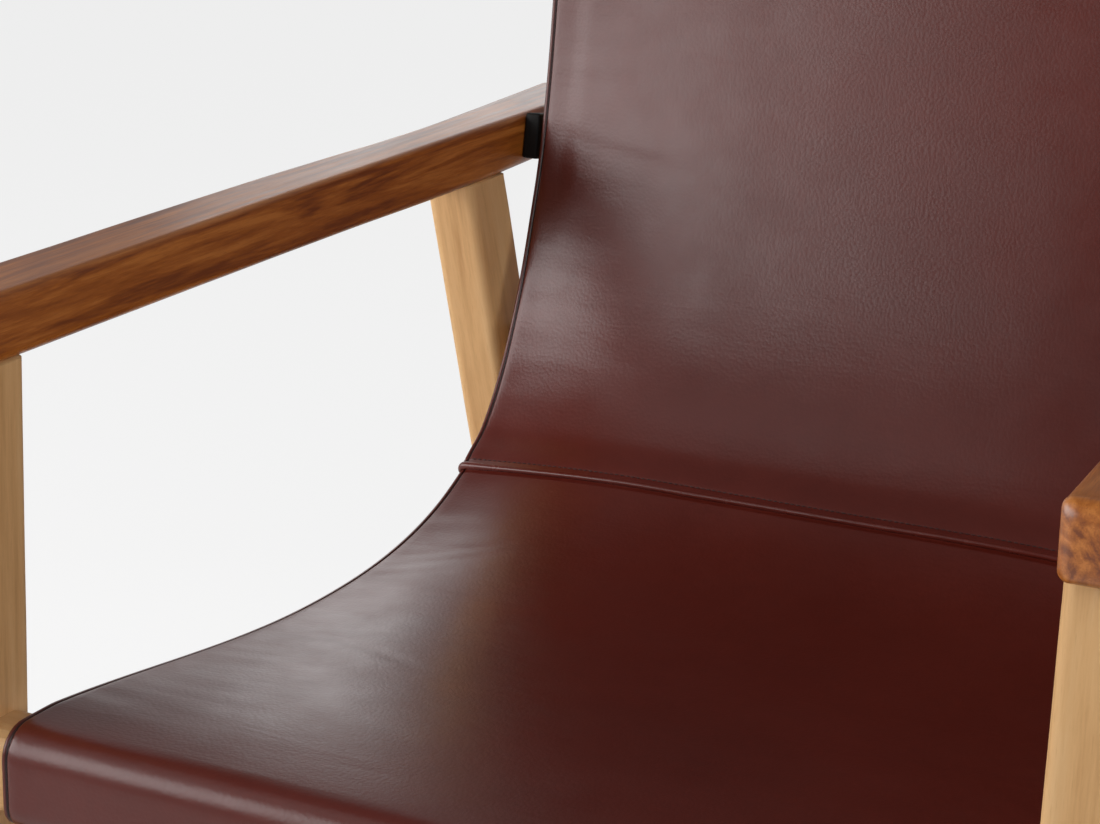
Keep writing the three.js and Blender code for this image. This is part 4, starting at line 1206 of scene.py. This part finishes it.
def studio_world():
    """White walls, dimmer towards the ceiling, as camera, gloss and glass see them; their light is soft."""
    world = bpy.data.worlds.new("studio")
    bpy.context.scene.world = world
    world.use_nodes = True
    tree = world.node_tree
    place = tree.nodes.new("ShaderNodeTexCoord")
    parts = tree.nodes.new("ShaderNodeSeparateXYZ")
    fade = tree.nodes.new("ShaderNodeMapRange")
    fade.interpolation_type = "SMOOTHSTEP"
    fade.inputs["From Min"].default_value = WALL_LOW
    fade.inputs["From Max"].default_value = WALL_HIGH
    fade.inputs["To Min"].default_value = 1.0
    fade.inputs["To Max"].default_value = CEILING_LEVEL
    plain = tree.nodes["Background"]
    plain.inputs["Color"].default_value = WHITE
    plain.inputs["Strength"].default_value = WALL_LIGHT
    white = tree.nodes.new("ShaderNodeBackground")
    white.inputs["Color"].default_value = WHITE
    mix = white_for_camera(tree, plain.outputs["Background"], 1.0, 1.0)
    tree.links.new(place.outputs["Generated"], parts.inputs["Vector"])
    tree.links.new(parts.outputs["Z"], fade.inputs["Value"])
    tree.links.new(fade.outputs["Result"], white.inputs["Strength"])
    tree.links.new(white.outputs["Background"], mix.inputs[2])
    tree.links.new(mix.outputs["Shader"], tree.nodes["World Output"].inputs["Surface"])


SUBJECT = (-0.05, 0.15, 0.55)
LAMP_DISTANCE = 2.3
# Lamps round the chair: azimuth from straight behind, clockwise from above, and elevation, in degrees,
# then width, height and radiance
FAR_LAMPS = [
    ("left_key", -110, 14, 1.50, 1.40, 3.9),
    ("front_left", -142, 17, 1.40, 1.10, 4.2),
    ("front_top", -145, 52, 1.00, 0.80, 0.8),
    ("front_right", 152, 22, 1.00, 1.00, 1.5),
    ("right_fill", 116, 24, 1.10, 1.00, 4.2),
    ("rear_left", -50, 34, 1.00, 0.90, 0.4),
]
# Small panels near the chair: place, where they aim, then width, height and radiance
NEAR_PANELS = [
    ("seat_strip", (-0.70, 0.65, 0.51), (-0.245, -0.05, 0.36), 0.14, 0.30, 1.75),
    ("edge_strip", (-0.92, 0.60, 0.445), (-0.265, -0.05, 0.36), 0.26, 0.13, 1.1),
    ("arm_panel", (-0.53, 0.70, 0.690), (-0.32, 0.15, 0.61), 0.34, 0.13, 1.5),
    ("arm_front_panel", (-0.80, 0.70, 0.785), (-0.32, 0.0, 0.62), 0.14, 0.09, 2.0),
]


def standing(azimuth, elevation):
    """Place of a lamp round the chair."""
    turn, rise = math.radians(azimuth), math.radians(elevation)
    toward = Vector((math.sin(turn) * math.cos(rise), math.cos(turn) * math.cos(rise), math.sin(rise)))
    return Vector(SUBJECT) + toward * LAMP_DISTANCE


def softbox(name, place, aim, width, height, radiance):
    data = bpy.data.lights.new(name, "AREA")
    data.shape = "RECTANGLE"
    data.size = width
    data.size_y = height
    data.energy = radiance * math.pi * width * height
    lamp = bpy.data.objects.new(name, data)
    bpy.context.scene.collection.objects.link(lamp)
    lamp.location = place
    lamp.rotation_mode = "QUATERNION"
    lamp.rotation_quaternion = (Vector(aim) - Vector(place)).to_track_quat("-Z", "Y")
    lamp.visible_camera = False


studio_floor()
studio_world()
for name, azimuth, elevation, *shape in FAR_LAMPS:
    softbox(name, standing(azimuth, elevation), SUBJECT, *shape)
for panel in NEAR_PANELS:
    softbox(*panel)

# Camera at the photograph's viewing angle, set by the left end of the seam
PHOTO_WIDTH = 1100
FOCAL_PIXELS = 2500
AZIMUTH = math.radians(25.75)
ELEVATION = math.radians(19.75)
SEAM_END = Vector((-0.28, 0.138047, 0.3692))
CAMERA_FROM_SEAM = Vector((0.8121, -1.5267, 0.6676))
SENSOR_WIDTH = 36
FAR_CLIP = 200
camera_data = bpy.data.cameras.new("camera")
camera_data.sensor_width = SENSOR_WIDTH
camera_data.lens = SENSOR_WIDTH * FOCAL_PIXELS / PHOTO_WIDTH
camera_data.clip_end = FAR_CLIP
camera = bpy.data.objects.new("camera", camera_data)
bpy.context.scene.collection.objects.link(camera)
camera.location = SEAM_END + CAMERA_FROM_SEAM
away = Vector((
    math.sin(AZIMUTH) * math.cos(ELEVATION),
    -math.cos(AZIMUTH) * math.cos(ELEVATION),
    math.sin(ELEVATION),
))
camera.rotation_mode = "QUATERNION"
camera.rotation_quaternion = (-away).to_track_quat("-Z", "Y")
bpy.context.scene.camera = camera
bpy.context.scene.view_settings.view_transform = "Standard"
